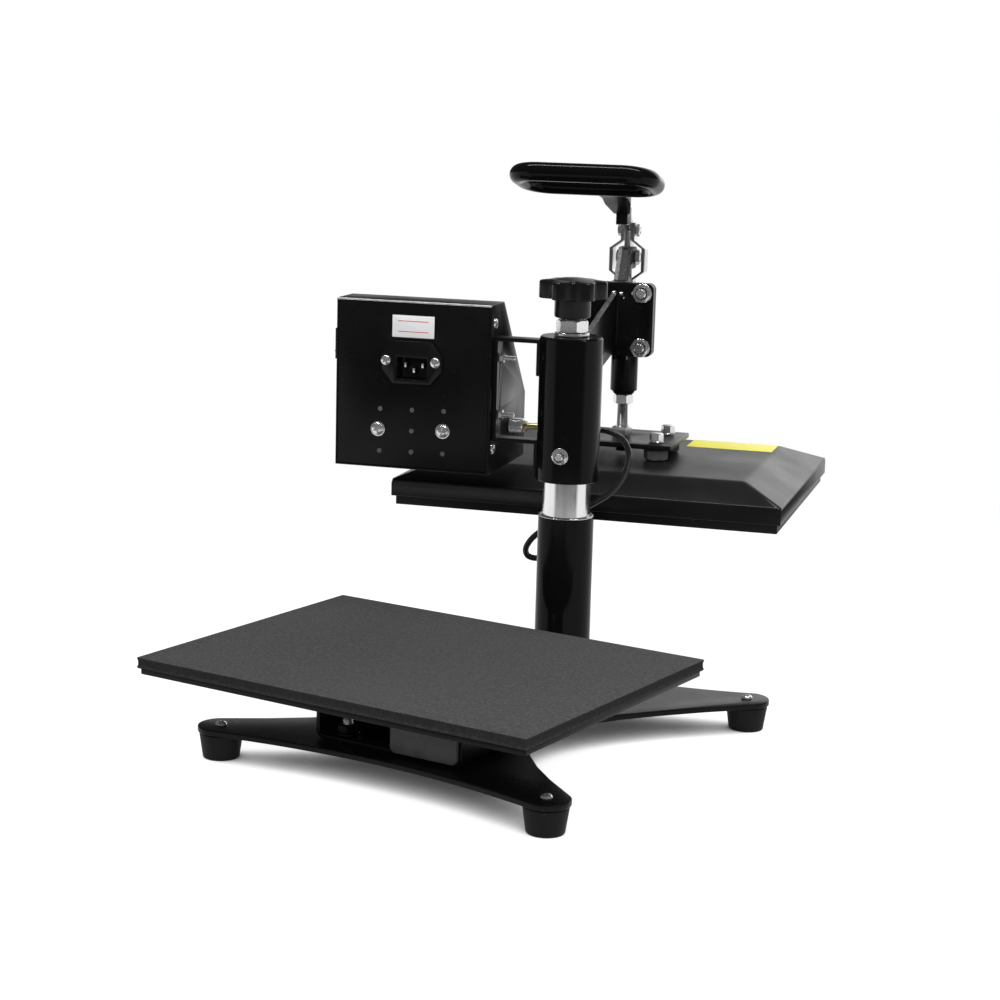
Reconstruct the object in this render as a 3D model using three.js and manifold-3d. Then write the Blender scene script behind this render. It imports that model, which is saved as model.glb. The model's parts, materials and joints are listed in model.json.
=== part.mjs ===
// Swing-away heat press with a lower pad, a turning head and a toggle clamp.
// Millimetres, +Z up. The operator stands on the -Y side, and +X is to their right.
// The origin is the centre of the bottom of the box round the whole press.

import * as THREE from "three";
import { mergeVertices } from "three/addons/utils/BufferGeometryUtils.js";
import Module from "manifold-3d";

const wasm = await Module();
wasm.setup();

// Gaps and counts
const SEAT_GAP = 0.3;
const RUNNING_GAP = 0.3;
const HOLE_GAP = 0.2;
const CUT_OVERRUN = 2;
const LARGE_SIDES = 48;
const ROD_SIDES = 24;
const SMALL_SIDES = 16;
const HEX_SIDES = 6;
const ARC_STEPS = 6;
const BASE_EDGE_STEPS = 12;

// Base plate and feet
const FOOT_HEIGHT = 19.3;
const FOOT_TOP_RADIUS = 16;
const FOOT_BOTTOM_RADIUS = 13.2;
const FOOT_EDGE = 1.2;
const FOOT_SPAN_X = 275;
const FOOT_SPAN_Y = 299;
const BASE_CENTRE_X = 2;
const BASE_CENTRE_Y = 90.5;
const BASE_PLATE_THICKNESS = 4.3;
const BASE_END_RADIUS = 17;
const BASE_FRONT_HOLLOW = 16.5;
const BASE_REAR_HOLLOW = 29.7;
const BASE_WAIST_PULL_X = 28;
const BASE_WAIST_PULL_FRONT_Y = 40;
const BASE_WAIST_PULL_REAR_Y = 90;
const BASE_FRONT_TANGENT_DEGREES = 55;
const BASE_REAR_TANGENT_DEGREES = 40;

// Lower pad and its support
const PAD_WIDTH = 322;
const PAD_DEPTH = 244;
const PAD_THICKNESS = 8;
const PAD_CORNER_RADIUS = 2;
const PAD_PLATE_THICKNESS = 4;
const PAD_PLATE_INSET = 2;
const CHANNEL_WIDTH = 124;
const CHANNEL_HEIGHT = 46.5;
const CHANNEL_LENGTH = 118;
const CHANNEL_WALL = 3;
const CHANNEL_CORNER_RADIUS = 6;
const CHANNEL_FRONT_Y = -43;
const END_PLATE_WIDTH = 56;
const END_PLATE_CENTRE_X = 32;
const END_PLATE_LIFT = 2;
const END_PLATE_CORNER_RADIUS = 5;
const CHANNEL_BOLT_RADIUS = 4;
const CHANNEL_BOLT_AF = 13;
const CHANNEL_BOLT_HEAD = 5.5;
const CHANNEL_BOLT_STAND = 12;
const CHANNEL_BOLT_X = -43.2;
const CHANNEL_BOLT_SETBACK = 12;

// Column
const COLUMN_X = 1;
const COLUMN_Y = 191.4;
const LOWER_TUBE_RADIUS = 21.6;
const LOWER_TUBE_TOP = 158;
const SHAFT_RADIUS = 18.6;
const SHAFT_WALL = 6;
const SHAFT_TOP = 258;
const THRUST_DISC_RADIUS = 16.5;
const THRUST_DISC_THICKNESS = 5;

// Head sleeve, lift screw and knob
const REST_SWING_DEGREES = 16.5;
const ARM_REACH = 190;
const SLEEVE_RADIUS = 24.3;
const SLEEVE_BOTTOM = 185.3;
const SLEEVE_TOP = 296.5;
const SLEEVE_CAP = 6;
const SCREW_RADIUS = 8;
const LIFT_NUT_AF = 22;
const LIFT_NUT_HEIGHT = 10;
const LIFT_WASHER_RADIUS = 13.5;
const LIFT_WASHER_THICKNESS = 2.5;
const LOCK_BOLT_RADIUS = 4;
const LOCK_BOLT_AF = 10.5;
const LOCK_BOLT_HEAD = 5.5;
const LOCK_BOLT_HEIGHT = 207;
const HUB_RADIUS = 14;
const HUB_GAP = 1.3;
const HUB_LENGTH = 14.4;
const HUB_CHAMFER = 2.5;
const STAR_RADIUS = 26;
const STAR_VALLEY = 6.4;
const STAR_LOBES = 6;
const STAR_HEIGHT = 14;
const STAR_BEVEL = 1.2;
const STAR_TURN_DEGREES = 13.9;
const STAR_DOME_RADIUS = 19;
const STAR_DOME_HEIGHT = 2.2;
const STAR_DOME_SHOULDER_SHARE = 0.8;

// Arm and clamp body
const GUSSET_THICKNESS = 5;
const GUSSET_ROOT_TOP = 287;
const GUSSET_ROOT_BOTTOM = 232;
const GUSSET_TIP_TOP = 317;
const GUSSET_TIP_BOTTOM = 270;
const GUSSET_KNEE_BOTTOM = 262.3;
const GUSSET_KNEE_REACH = 100;
const END_FACE_SETBACK = 50;
const END_FACE_WIDTH = 66;
const END_FACE_HEIGHT = 60;
const END_FACE_THICKNESS = 6;
const END_FACE_CENTRE_Z = 296;
const END_FACE_CORNER_RADIUS = 5;
const CLAMP_BOLT_RADIUS = 4;
const CLAMP_BOLT_AF = 14;
const CLAMP_BOLT_HEAD = 6;
const CLAMP_BOLT_TIP = 2.5;
const CLAMP_BOLT_SPACING_X = 48;
const CLAMP_BOLT_SPACING_Z = 44.8;
const CLAMP_FLANGE_THICKNESS = 5;
const GUIDE_TOP = 262;
const GUIDE_RADIUS = 11.4;
const GUIDE_BOTTOM = 228;
const GUIDE_CHAMFER = 3;
const CHEEK_THICKNESS = 3.2;
const CHEEK_BOTTOM = 267;
const CHEEK_FRONT_GAP = 12;
const CHEEK_SHOULDER = 12;
const CHEEK_NECK_SETBACK = 22;
const CHEEK_NECK_FRONT_GAP = 8;
const CHEEK_NECK_GRIP = 3;
const WEB_FRONT_GAP = 9;
const CHEEK_LUG_BOTTOM = 334.5;
const LUG_RADIUS = 9;

// Toggle: lever, links and plunger
const LEVER_PIVOT_Z = 343.5;
const LEVER_CRANK = 22.5;
const LINK_LENGTH = 49;
const LEVER_THICKNESS = 5;
const LEVER_EYE_RADIUS = 7.5;
const LEVER_NECK_Z = 386;
const LEVER_NECK_SETBACK = 24;
const LEVER_NECK_WIDTH = 12;
const PIVOT_BOLT_RADIUS = 4;
const PIVOT_BOLT_AF = 11;
const PIVOT_BOLT_HEAD = 3.6;
const LINK_PIN_RADIUS = 3;
const LINK_PIN_AF = 9;
const LINK_PIN_HEAD = 3.2;
const LINK_THICKNESS = 3;
const LINK_WIDTH = 13;
const LINK_BOW = 9.4;
const LINK_END_FLAT = 8;
const LINK_BEND_RUN = 7;
const LINK_RIVET_RADIUS = 4;
const LINK_RIVET_HEAD = 1.8;
const ARM_THICKNESS = 5;
const ARM_WIDTH = 22;
const ARM_NECK_WIDTH = 9.6;
const ARM_SOCKET_DEPTH = 15;
const ARM_SOCKET_HEIGHT = 14;
const ARM_KNEE_REACH = 58;
const ARM_KNEE_Z = 397;
const ARM_FLARE_RUN = 24;
const HANDLE_FAR_REACH = 115;
const HANDLE_FAR_Z = 406.4;
const HANDLE_DEPTH = 56.4;
const HANDLE_TILT_DEGREES = 12.8;
const HANDLE_LENGTH = 119;
const HANDLE_SIDE = -3.8;
const HANDLE_ROD_RADIUS = 7.3;
const HANDLE_CORNER_RADIUS = 20;
const HANDLE_SIDES = 12;
const PLUNGER_RADIUS = 6;
const PLUNGER_TONGUE_WIDTH = 14;
const PLUNGER_TONGUE_BOTTOM = 307;
const THREAD_RADIUS = 4.7;
const ROD_NUT_AF = 15;
const ROD_NUT_HEIGHT = 8;

// Upper platen
const FLOAT_PLATE_WIDTH = 101;
const FLOAT_PLATE_DEPTH = 79;
const FLOAT_PLATE_THICKNESS = 4;
const STUD_SPACING_X = 70;
const STUD_SPACING_Y = 48;
const STUD_RADIUS = 3;
const STUD_TIP = 3;
const STUD_NUT_AF = 10;
const STUD_NUT_HEIGHT = 5;
const SPACER_AF = 18;
const SPACER_HEIGHT = 10;
const PLATEN_WIDTH = 321;
const PLATEN_DEPTH = 258;
const PLATEN_SIDE = -2.6;
const PLATEN_BOTTOM = 142.2;
const PLATEN_LIP = 7.3;
const SKIRT_HEIGHT = 14;
const HIP_HEIGHT = 13.5;
const HIP_INSET = 34.8;
const COVER_WALL = 2.5;
const HEATING_PLATE_THICKNESS = 14.8;
const HEATING_PLATE_INSET = 3;
const INSULATION_THICKNESS = 5;
const INSULATION_INSET = 16;
const GLAND_RADIUS = 5.5;
const GLAND_LENGTH = 5;
const GLAND_HEIGHT = 156.5;
const GLAND_SIDE = -5;

// Control box
const BOX_WIDTH = 125;
const BOX_HEIGHT = 131;
const BOX_DEPTH = 104;
const BOX_TOP_DEPTH = 35;
const BOX_FRONT_HEIGHT = 52;
const BOX_BOTTOM = 187.3;
const BOX_BACK_SETBACK = 19;
const BOX_SIDE_REACH = 58.3;
const BOX_WALL = 1.5;
const BACK_FLANGE = 10;
const RELAY_CENTRE_Z = 217.5;
const INLET_CENTRE_Z = 271;
const INLET_FLANGE_WIDTH = 48.6;
const INLET_FLANGE_HEIGHT = 33.5;
const INLET_FLANGE_THICKNESS = 2.5;
const INLET_CORNER_CUT = 9;
const INLET_BODY_WIDTH = 29;
const INLET_BODY_HEIGHT = 31;
const INLET_BODY_DEPTH = 26;
const INLET_RECESS_WIDTH = 25;
const INLET_RECESS_HEIGHT = 17;
const INLET_RECESS_DEPTH = 16;
const INLET_RECESS_DROP = 4.5;
const INLET_PIN_SPACING = 14;
const INLET_PIN_OFFSET = 2;
const INLET_PIN_WIDTH = 2;
const INLET_PIN_HEIGHT = 4;
const INLET_PIN_LENGTH = 11;
const RELAY_WIDTH = 60;
const RELAY_HEIGHT = 45;
const RELAY_DEPTH = 23;
const BOARD_WIDTH = 94;
const BOARD_HEIGHT = 60;
const BOARD_THICKNESS = 1.6;
const BOARD_BEHIND = 14;
const BOARD_POST_RADIUS = 3;
const BOARD_POST_INSET = 6;
const PANEL_WIDTH = 104;
const PANEL_HEIGHT = 78;
const PANEL_THICKNESS = 2;
const PANEL_CORNER_RADIUS = 4;
const DISPLAY_WIDTH = 64;
const DISPLAY_HEIGHT = 26;
const DISPLAY_THICKNESS = 2.5;
const DISPLAY_OFFSET = -17;
const BUTTON_RADIUS = 5.5;
const BUTTON_LENGTH = 9;
const BUTTON_PROUD = 2.5;
const BUTTON_SPACING = 26;
const BUTTON_OFFSET = 20;
const SWITCH_CENTRE_Z = 282;
const SWITCH_SETBACK = 9;
const SWITCH_HEIGHT = 24;
const SWITCH_WIDTH = 15;
const SWITCH_RIM = 2;
const SWITCH_FRAME = 1.7;
const SWITCH_BODY_DEPTH = 18;
const SWITCH_POCKET_DEPTH = 10;
const ROCKER_THICKNESS = 6;
const ROCKER_PEAK = 1.8;
const ROCKER_SINK = 4.3;
const ROCKER_END_GAP = 1.2;
const ROCKER_TILT_DEGREES = 11;

// Bracket between the box and the sleeve, and the cable
const BRACKET_THICKNESS = 3;
const BRACKET_WIDTH = 14;
const BRACKET_OFFSET = -5;
const BRACKET_TOP = 293.5;
const BRACKET_BOTTOM = 213;
const BRACKET_TAB_TOP = 28;
const BRACKET_TAB_BOTTOM = 26;
const BRACKET_TAB_THICKNESS = 2;
const BRACKET_BOLT_RADIUS = 2;
const BRACKET_BOLT_AF = 7;
const BRACKET_BOLT_NUT = 3.2;
const BRACKET_BOLT_TIP = 9;
const BRACKET_BOLT_INNER = 3;
const BRACKET_BOLT_HIGH = 277;
const BRACKET_BOLT_LOW = 233;
const CONNECTOR_RADIUS = 6;
const CONNECTOR_LENGTH = 12;
const CONNECTOR_TAIL_RADIUS = 2.8;
const CONNECTOR_TAIL_LENGTH = 15;
const CONNECTOR_Z = 218.5;
const CONNECTOR_REACH = 38;
const CABLE_RADIUS = 2.4;
const CABLE_SIDES = 8;
const CABLE_STEPS = 60;
// Route of the cable as side, reach and height from the column axis
const CABLE_ROUTE = [
  [-22, 38, 218.8], [-2, 38.5, 220], [17, 39, 219.5], [25, 39, 218], [32, 39, 215],
  [37, 39, 209], [39.4, 39, 201.5], [39, 39, 194], [37.6, 39, 188], [34.2, 39, 180.5],
  [29.5, 39, 174], [23.3, 38.5, 167.8], [14, 38, 161.5], [0, 37.5, 153], [-16, 37, 143.5],
  [-32, 37.5, 132.8], [-38.8, 38.5, 125.5], [-42, 39.5, 118.5], [-40.6, 41, 113.6], [-35.5, 42, 111.7],
  [-27, 43, 113], [-18, 44, 117.5], [-11, 44.5, 125], [-6.5, 45, 134.5], [-5, 45, 145],
];

// Materials
function finish(color, roughness, metalness) {
  return new THREE.MeshStandardMaterial({ color, roughness, metalness });
}

const BLACK_PAINT = finish("#1b1b1e", 0.32, 0.3);
const BLACK_GLOSS = finish("#101013", 0.16, 0.1);
const ZINC = finish("#c9cbd0", 0.3, 1);
const BRIGHT_STEEL = finish("#dcdee2", 0.18, 1);
const ALUMINIUM = finish("#b7b9bd", 0.45, 1);
const BRASS = finish("#b49347", 0.35, 1);
const BLACK_RUBBER = finish("#161617", 0.8, 0);
const GREY_SPONGE = finish("#3d3b3c", 0.95, 0);
const BLACK_PLASTIC = finish("#1d1d20", 0.45, 0);
const WHITE_PLASTIC = finish("#d8d8d4", 0.55, 0);
const RED_PLASTIC = finish("#c8181e", 0.35, 0);
const GREEN_BOARD = finish("#1d5b38", 0.5, 0);
const PALE_INSULATION = finish("#d9d2be", 0.95, 0);
const DISPLAY_GLASS = finish("#26090b", 0.1, 0);

// Shape helpers
function solidOf(geometry) {
  const bare = geometry.clone();
  bare.deleteAttribute("normal");
  bare.deleteAttribute("uv");
  const merged = mergeVertices(bare, 1e-4);
  const corners = merged.index.array;
  const kept = [];
  for (let i = 0; i < corners.length; i += 3) {
    const [a, b, c] = [corners[i], corners[i + 1], corners[i + 2]];
    if (a !== b && b !== c && c !== a) kept.push(a, b, c);
  }
  const vertProperties = new Float32Array(merged.attributes.position.array);
  const triVerts = new Uint32Array(kept);
  return new wasm.Manifold(new wasm.Mesh({ numProp: 3, vertProperties, triVerts }));
}

function geometryOf(solid) {
  const mesh = solid.getMesh();
  const geometry = new THREE.BufferGeometry();
  geometry.setAttribute("position", new THREE.BufferAttribute(mesh.vertProperties, 3));
  geometry.setIndex(new THREE.BufferAttribute(mesh.triVerts, 1));
  geometry.computeVertexNormals();
  return geometry;
}

function join(first, ...others) {
  let solid = solidOf(first);
  for (const other of others) solid = solid.add(solidOf(other));
  return geometryOf(solid);
}

function cut(first, ...tools) {
  let solid = solidOf(first);
  for (const tool of tools) solid = solid.subtract(solidOf(tool));
  return geometryOf(solid);
}

function common(first, second) {
  return geometryOf(solidOf(first).intersect(solidOf(second)));
}

// A block whose bottom face is centred on x, y at height z
function block(width, depth, height, x = 0, y = 0, z = 0) {
  const geometry = new THREE.BoxGeometry(width, depth, height);
  return geometry.translate(x, y, z + height / 2);
}

// A round bar from height z upwards
function post(radius, height, x = 0, y = 0, z = 0, sides = ROD_SIDES, topRadius = radius) {
  const geometry = new THREE.CylinderGeometry(topRadius, radius, height, sides);
  return geometry.rotateX(Math.PI / 2).translate(x, y, z + height / 2);
}

function hexPost(acrossFlats, height, x = 0, y = 0, z = 0) {
  const cornerRadius = acrossFlats / 2 / Math.cos(Math.PI / HEX_SIDES);
  return post(cornerRadius, height, x, y, z, HEX_SIDES);
}

// Turns a piece built along +Z to point along another axis
function pointAlongX(geometry) {
  return geometry.rotateY(Math.PI / 2);
}

function pointAlongY(geometry) {
  return geometry.rotateX(-Math.PI / 2);
}

function sheet(shape, thickness, curveSegments = ARC_STEPS) {
  const options = { depth: thickness, bevelEnabled: false, curveSegments };
  return new THREE.ExtrudeGeometry(shape, options);
}

// A plate drawn as reach and height, standing in the plane of the arm
function sidePlate(shape, thickness) {
  const turn = new THREE.Matrix4().makeBasis(
    new THREE.Vector3(0, 1, 0), new THREE.Vector3(0, 0, 1), new THREE.Vector3(1, 0, 0));
  return sheet(shape, thickness).applyMatrix4(turn).translate(-thickness / 2, 0, 0);
}

// A plate drawn as side and height, facing along the arm, from its back face at y
function facePlate(shape, thickness, y) {
  return sheet(shape, thickness).rotateX(Math.PI / 2).translate(0, y + thickness, 0);
}

function polygon(points) {
  return new THREE.Shape(points.map(([a, b]) => new THREE.Vector2(a, b)));
}

function roundedRectangle(width, height, radius, centreX = 0, centreY = 0) {
  const [x, y] = [centreX - width / 2, centreY - height / 2];
  const shape = new THREE.Shape();
  shape.moveTo(x + radius, y);
  shape.lineTo(x + width - radius, y);
  shape.absarc(x + width - radius, y + radius, radius, -Math.PI / 2, 0);
  shape.lineTo(x + width, y + height - radius);
  shape.absarc(x + width - radius, y + height - radius, radius, 0, Math.PI / 2);
  shape.lineTo(x + radius, y + height);
  shape.absarc(x + radius, y + height - radius, radius, Math.PI / 2, Math.PI);
  shape.lineTo(x, y + radius);
  shape.absarc(x + radius, y + radius, radius, Math.PI, 1.5 * Math.PI);
  return shape;
}

// Every place of a rectangle's four corners, with a name for each
function cornerPlaces(spacingX, spacingY) {
  const places = [];
  for (const [row, signY] of [["front", -1], ["rear", 1]]) {
    for (const [side, signX] of [["left", -1], ["right", 1]]) {
      places.push({ name: `${row}_${side}`, x: (signX * spacingX) / 2, y: (signY * spacingY) / 2 });
    }
  }
  return places;
}

function addPiece(group, name, geometry, material) {
  const mesh = new THREE.Mesh(geometry, material);
  mesh.name = name;
  group.add(mesh);
  return mesh;
}

// Heights of the stack from the floor to the pad
const BASE_PLATE_Z = FOOT_HEIGHT;
const BASE_TOP = BASE_PLATE_Z + BASE_PLATE_THICKNESS;
const CHANNEL_Z = BASE_TOP + SEAT_GAP;
const PAD_PLATE_Z = CHANNEL_Z + CHANNEL_HEIGHT + SEAT_GAP;
const PAD_Z = PAD_PLATE_Z + PAD_PLATE_THICKNESS + SEAT_GAP;

// The right half of the base's edge, from the middle of its front to the middle of its back
function baseOutline() {
  const half = FOOT_SPAN_X / 2;
  const front = BASE_CENTRE_Y - FOOT_SPAN_Y / 2;
  const rear = BASE_CENTRE_Y + FOOT_SPAN_Y / 2;
  const r = BASE_END_RADIUS;
  const frontTurn = THREE.MathUtils.degToRad(BASE_FRONT_TANGENT_DEGREES);
  const rearTurn = THREE.MathUtils.degToRad(-BASE_REAR_TANGENT_DEGREES);
  const right = new THREE.Path();
  right.moveTo(0, front - r + BASE_FRONT_HOLLOW);
  right.quadraticCurveTo(half / 2, front - r + BASE_FRONT_HOLLOW, half, front - r);
  right.absarc(half, front, r, -Math.PI / 2, frontTurn);
  right.bezierCurveTo(BASE_WAIST_PULL_X, BASE_WAIST_PULL_FRONT_Y, BASE_WAIST_PULL_X, BASE_WAIST_PULL_REAR_Y,
    half + r * Math.cos(rearTurn), rear + r * Math.sin(rearTurn));
  right.absarc(half, rear, r, rearTurn, Math.PI / 2);
  right.quadraticCurveTo(half / 2, rear + r - BASE_REAR_HOLLOW, 0, rear + r - BASE_REAR_HOLLOW);
  const rightPoints = right.getPoints(BASE_EDGE_STEPS);
  const leftPoints = rightPoints.slice(1, -1).reverse().map((point) => new THREE.Vector2(-point.x, point.y));
  const apart = [...rightPoints, ...leftPoints].filter((point, i, all) =>
    i === 0 || point.distanceTo(all[i - 1]) > SEAT_GAP);
  return new THREE.Shape(apart);
}

// Base
const CHANNEL_BOLT_Y = CHANNEL_FRONT_Y + CHANNEL_BOLT_SETBACK;

function channelBoltHole(thickness, z) {
  const height = thickness + 2 * CUT_OVERRUN;
  const bottom = z - CUT_OVERRUN;
  return post(CHANNEL_BOLT_RADIUS + HOLE_GAP, height, CHANNEL_BOLT_X, CHANNEL_BOLT_Y, bottom, SMALL_SIDES);
}

function basePlate() {
  const plate = sheet(baseOutline(), BASE_PLATE_THICKNESS).translate(BASE_CENTRE_X, 0, BASE_PLATE_Z);
  return cut(plate, channelBoltHole(BASE_PLATE_THICKNESS, BASE_PLATE_Z));
}

function foot(x, y) {
  const top = FOOT_HEIGHT - SEAT_GAP;
  const outline = [
    [0, 0], [FOOT_BOTTOM_RADIUS - FOOT_EDGE, 0], [FOOT_BOTTOM_RADIUS, FOOT_EDGE],
    [FOOT_TOP_RADIUS, top - FOOT_EDGE], [FOOT_TOP_RADIUS - FOOT_EDGE, top], [0, top],
  ];
  const points = outline.map(([a, b]) => new THREE.Vector2(a, b));
  return new THREE.LatheGeometry(points, ROD_SIDES).rotateX(Math.PI / 2).translate(x, y, 0);
}

// The support channel is a U of folded sheet, open at its ends and under the pad plate
function padChannel() {
  const [w, h, t] = [CHANNEL_WIDTH / 2, CHANNEL_HEIGHT, CHANNEL_WALL];
  const r = CHANNEL_CORNER_RADIUS;
  const shape = new THREE.Shape();
  shape.moveTo(-w, h);
  shape.lineTo(-w, r);
  shape.absarc(-w + r, r, r, Math.PI, 1.5 * Math.PI);
  shape.lineTo(w - r, 0);
  shape.absarc(w - r, r, r, -Math.PI / 2, 0);
  shape.lineTo(w, h);
  shape.lineTo(w - t, h);
  shape.lineTo(w - t, r);
  shape.absarc(w - r, r, r - t, 0, -Math.PI / 2, true);
  shape.lineTo(-w + r, t);
  shape.absarc(-w + r, r, r - t, -Math.PI / 2, -Math.PI, true);
  shape.lineTo(-w + t, h);
  const body = facePlate(shape, CHANNEL_LENGTH, CHANNEL_FRONT_Y).translate(0, 0, CHANNEL_Z);
  return cut(body, channelBoltHole(t, CHANNEL_Z));
}

function channelEndPlate() {
  const height = CHANNEL_HEIGHT - END_PLATE_LIFT;
  const shape = roundedRectangle(END_PLATE_WIDTH, height, END_PLATE_CORNER_RADIUS,
    END_PLATE_CENTRE_X, CHANNEL_Z + END_PLATE_LIFT + height / 2);
  return facePlate(shape, CHANNEL_WALL, CHANNEL_FRONT_Y - CHANNEL_WALL - SEAT_GAP);
}

function channelBolt() {
  const [x, y] = [CHANNEL_BOLT_X, CHANNEL_BOLT_Y];
  const seat = CHANNEL_Z + CHANNEL_WALL + SEAT_GAP;
  const bottom = BASE_PLATE_Z;
  const head = hexPost(CHANNEL_BOLT_AF, CHANNEL_BOLT_HEAD, x, y, seat);
  const shank = post(CHANNEL_BOLT_RADIUS, seat + CHANNEL_BOLT_STAND - bottom, x, y, bottom, SMALL_SIDES);
  return join(head, shank);
}

function padPlate() {
  const width = PAD_WIDTH - 2 * PAD_PLATE_INSET;
  const depth = PAD_DEPTH - 2 * PAD_PLATE_INSET;
  const shape = roundedRectangle(width, depth, PAD_CORNER_RADIUS);
  return sheet(shape, PAD_PLATE_THICKNESS, 2).translate(0, 0, PAD_PLATE_Z);
}

function lowerPad() {
  const shape = roundedRectangle(PAD_WIDTH, PAD_DEPTH, PAD_CORNER_RADIUS);
  return sheet(shape, PAD_THICKNESS, 2).translate(0, 0, PAD_Z);
}

function lowerTube() {
  const z = BASE_TOP + SEAT_GAP;
  const height = LOWER_TUBE_TOP - z;
  const outside = post(LOWER_TUBE_RADIUS, height, 0, 0, z, LARGE_SIDES);
  const bore = post(SHAFT_RADIUS + SEAT_GAP, height + 2 * CUT_OVERRUN, 0, 0, z - CUT_OVERRUN, LARGE_SIDES);
  return cut(outside, bore).translate(COLUMN_X, COLUMN_Y, 0);
}

function shaft() {
  const z = BASE_TOP + SEAT_GAP;
  const height = SHAFT_TOP - z;
  const outside = post(SHAFT_RADIUS, height, COLUMN_X, COLUMN_Y, z, LARGE_SIDES);
  const inner = SHAFT_RADIUS - SHAFT_WALL;
  const bore = post(inner, height + 2 * CUT_OVERRUN, COLUMN_X, COLUMN_Y, z - CUT_OVERRUN, ROD_SIDES);
  return cut(outside, bore);
}

function buildBase() {
  const base = new THREE.Group();
  addPiece(base, "base_plate", basePlate(), BLACK_PAINT);
  for (const place of cornerPlaces(FOOT_SPAN_X, FOOT_SPAN_Y)) {
    const [x, y] = [BASE_CENTRE_X + place.x, BASE_CENTRE_Y + place.y];
    addPiece(base, `foot_${place.name}`, foot(x, y), BLACK_RUBBER);
  }
  addPiece(base, "pad_channel", padChannel(), BLACK_PAINT);
  addPiece(base, "channel_end_plate", channelEndPlate(), BLACK_PAINT);
  addPiece(base, "channel_bolt", channelBolt(), ZINC);
  addPiece(base, "pad_plate", padPlate(), BLACK_PAINT);
  addPiece(base, "lower_pad", lowerPad(), GREY_SPONGE);
  addPiece(base, "lower_tube", lowerTube(), BLACK_PAINT);
  addPiece(base, "column_shaft", shaft(), BRIGHT_STEEL);
  return base;
}

// Lift screw and knob, on the column axis
const HUB_BOTTOM = SLEEVE_TOP + SEAT_GAP + LIFT_WASHER_THICKNESS + LIFT_NUT_HEIGHT + HUB_GAP;
const STAR_BOTTOM = HUB_BOTTOM + HUB_LENGTH;
const THRUST_DISC_Z = SHAFT_TOP + SEAT_GAP;
const SCREW_BOTTOM = THRUST_DISC_Z + THRUST_DISC_THICKNESS + SEAT_GAP;
const SCREW_TOP = STAR_BOTTOM;

function starKnob() {
  const shape = new THREE.Shape();
  const count = STAR_LOBES * 10;
  for (let i = 0; i < count; i += 1) {
    const angle = (2 * Math.PI * i) / count;
    const turn = STAR_LOBES * (angle - THREE.MathUtils.degToRad(STAR_TURN_DEGREES));
    const radius = STAR_RADIUS - STAR_BEVEL - (STAR_VALLEY * (1 - Math.cos(turn))) / 2;
    const [x, y] = [radius * Math.cos(angle), radius * Math.sin(angle)];
    if (i === 0) shape.moveTo(x, y);
    else shape.lineTo(x, y);
  }
  const star = new THREE.ExtrudeGeometry(shape, {
    depth: STAR_HEIGHT - 2 * STAR_BEVEL,
    bevelThickness: STAR_BEVEL,
    bevelSize: STAR_BEVEL,
    bevelSegments: 1,
    curveSegments: 1,
  });
  star.translate(0, 0, STAR_BOTTOM + STAR_BEVEL);
  const hubTop = STAR_BOTTOM + STAR_BEVEL;
  const starTop = STAR_BOTTOM + STAR_HEIGHT;
  const domeRoot = starTop - STAR_BEVEL;
  const domeShoulder = starTop + STAR_DOME_SHOULDER_SHARE * STAR_DOME_HEIGHT;
  const hubOutline = [
    [0, HUB_BOTTOM], [HUB_RADIUS - HUB_CHAMFER, HUB_BOTTOM], [HUB_RADIUS, HUB_BOTTOM + HUB_CHAMFER],
    [HUB_RADIUS, hubTop], [STAR_DOME_RADIUS, domeRoot], [STAR_DOME_RADIUS, starTop],
    [STAR_DOME_RADIUS / 2, domeShoulder], [0, starTop + STAR_DOME_HEIGHT],
  ];
  const points = hubOutline.map(([a, b]) => new THREE.Vector2(a, b));
  const hub = new THREE.LatheGeometry(points, ROD_SIDES).rotateX(Math.PI / 2);
  const bore = post(SCREW_RADIUS + HOLE_GAP, SCREW_TOP + SEAT_GAP - HUB_BOTTOM + CUT_OVERRUN,
    0, 0, HUB_BOTTOM - CUT_OVERRUN);
  return cut(join(star, hub), bore);
}

function liftScrew() {
  return post(SCREW_RADIUS, SCREW_TOP - SCREW_BOTTOM, 0, 0, SCREW_BOTTOM);
}

function buildKnob() {
  const knob = new THREE.Group();
  addPiece(knob, "star_knob", starKnob(), BLACK_PLASTIC);
  addPiece(knob, "lift_screw", liftScrew(), ZINC);
  return knob;
}

// Sleeve and arm
function upperSleeve() {
  const outside = post(SLEEVE_RADIUS, SLEEVE_TOP - SLEEVE_BOTTOM, 0, 0, SLEEVE_BOTTOM, LARGE_SIDES);
  const boreHeight = SLEEVE_TOP - SLEEVE_CAP - SLEEVE_BOTTOM + CUT_OVERRUN;
  const bore = post(SHAFT_RADIUS + RUNNING_GAP, boreHeight, 0, 0, SLEEVE_BOTTOM - CUT_OVERRUN, LARGE_SIDES);
  const screwHole = post(SCREW_RADIUS + RUNNING_GAP, SLEEVE_CAP + 2 * CUT_OVERRUN,
    0, 0, SLEEVE_TOP - SLEEVE_CAP - CUT_OVERRUN);
  const lockHole = pointAlongY(post(LOCK_BOLT_RADIUS + HOLE_GAP, SLEEVE_RADIUS, 0, 0, 0, SMALL_SIDES))
    .translate(0, -SLEEVE_RADIUS - CUT_OVERRUN, LOCK_BOLT_HEIGHT);
  return cut(outside, bore, screwHole, lockHole);
}

function liftNut() {
  const z = SLEEVE_TOP + SEAT_GAP;
  const washer = post(LIFT_WASHER_RADIUS, LIFT_WASHER_THICKNESS, 0, 0, z);
  const nut = hexPost(LIFT_NUT_AF, LIFT_NUT_HEIGHT + LIFT_WASHER_THICKNESS, 0, 0, z);
  const height = LIFT_NUT_HEIGHT + LIFT_WASHER_THICKNESS + 2 * CUT_OVERRUN;
  return cut(join(washer, nut), post(SCREW_RADIUS + RUNNING_GAP, height, 0, 0, z - CUT_OVERRUN));
}

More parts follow.
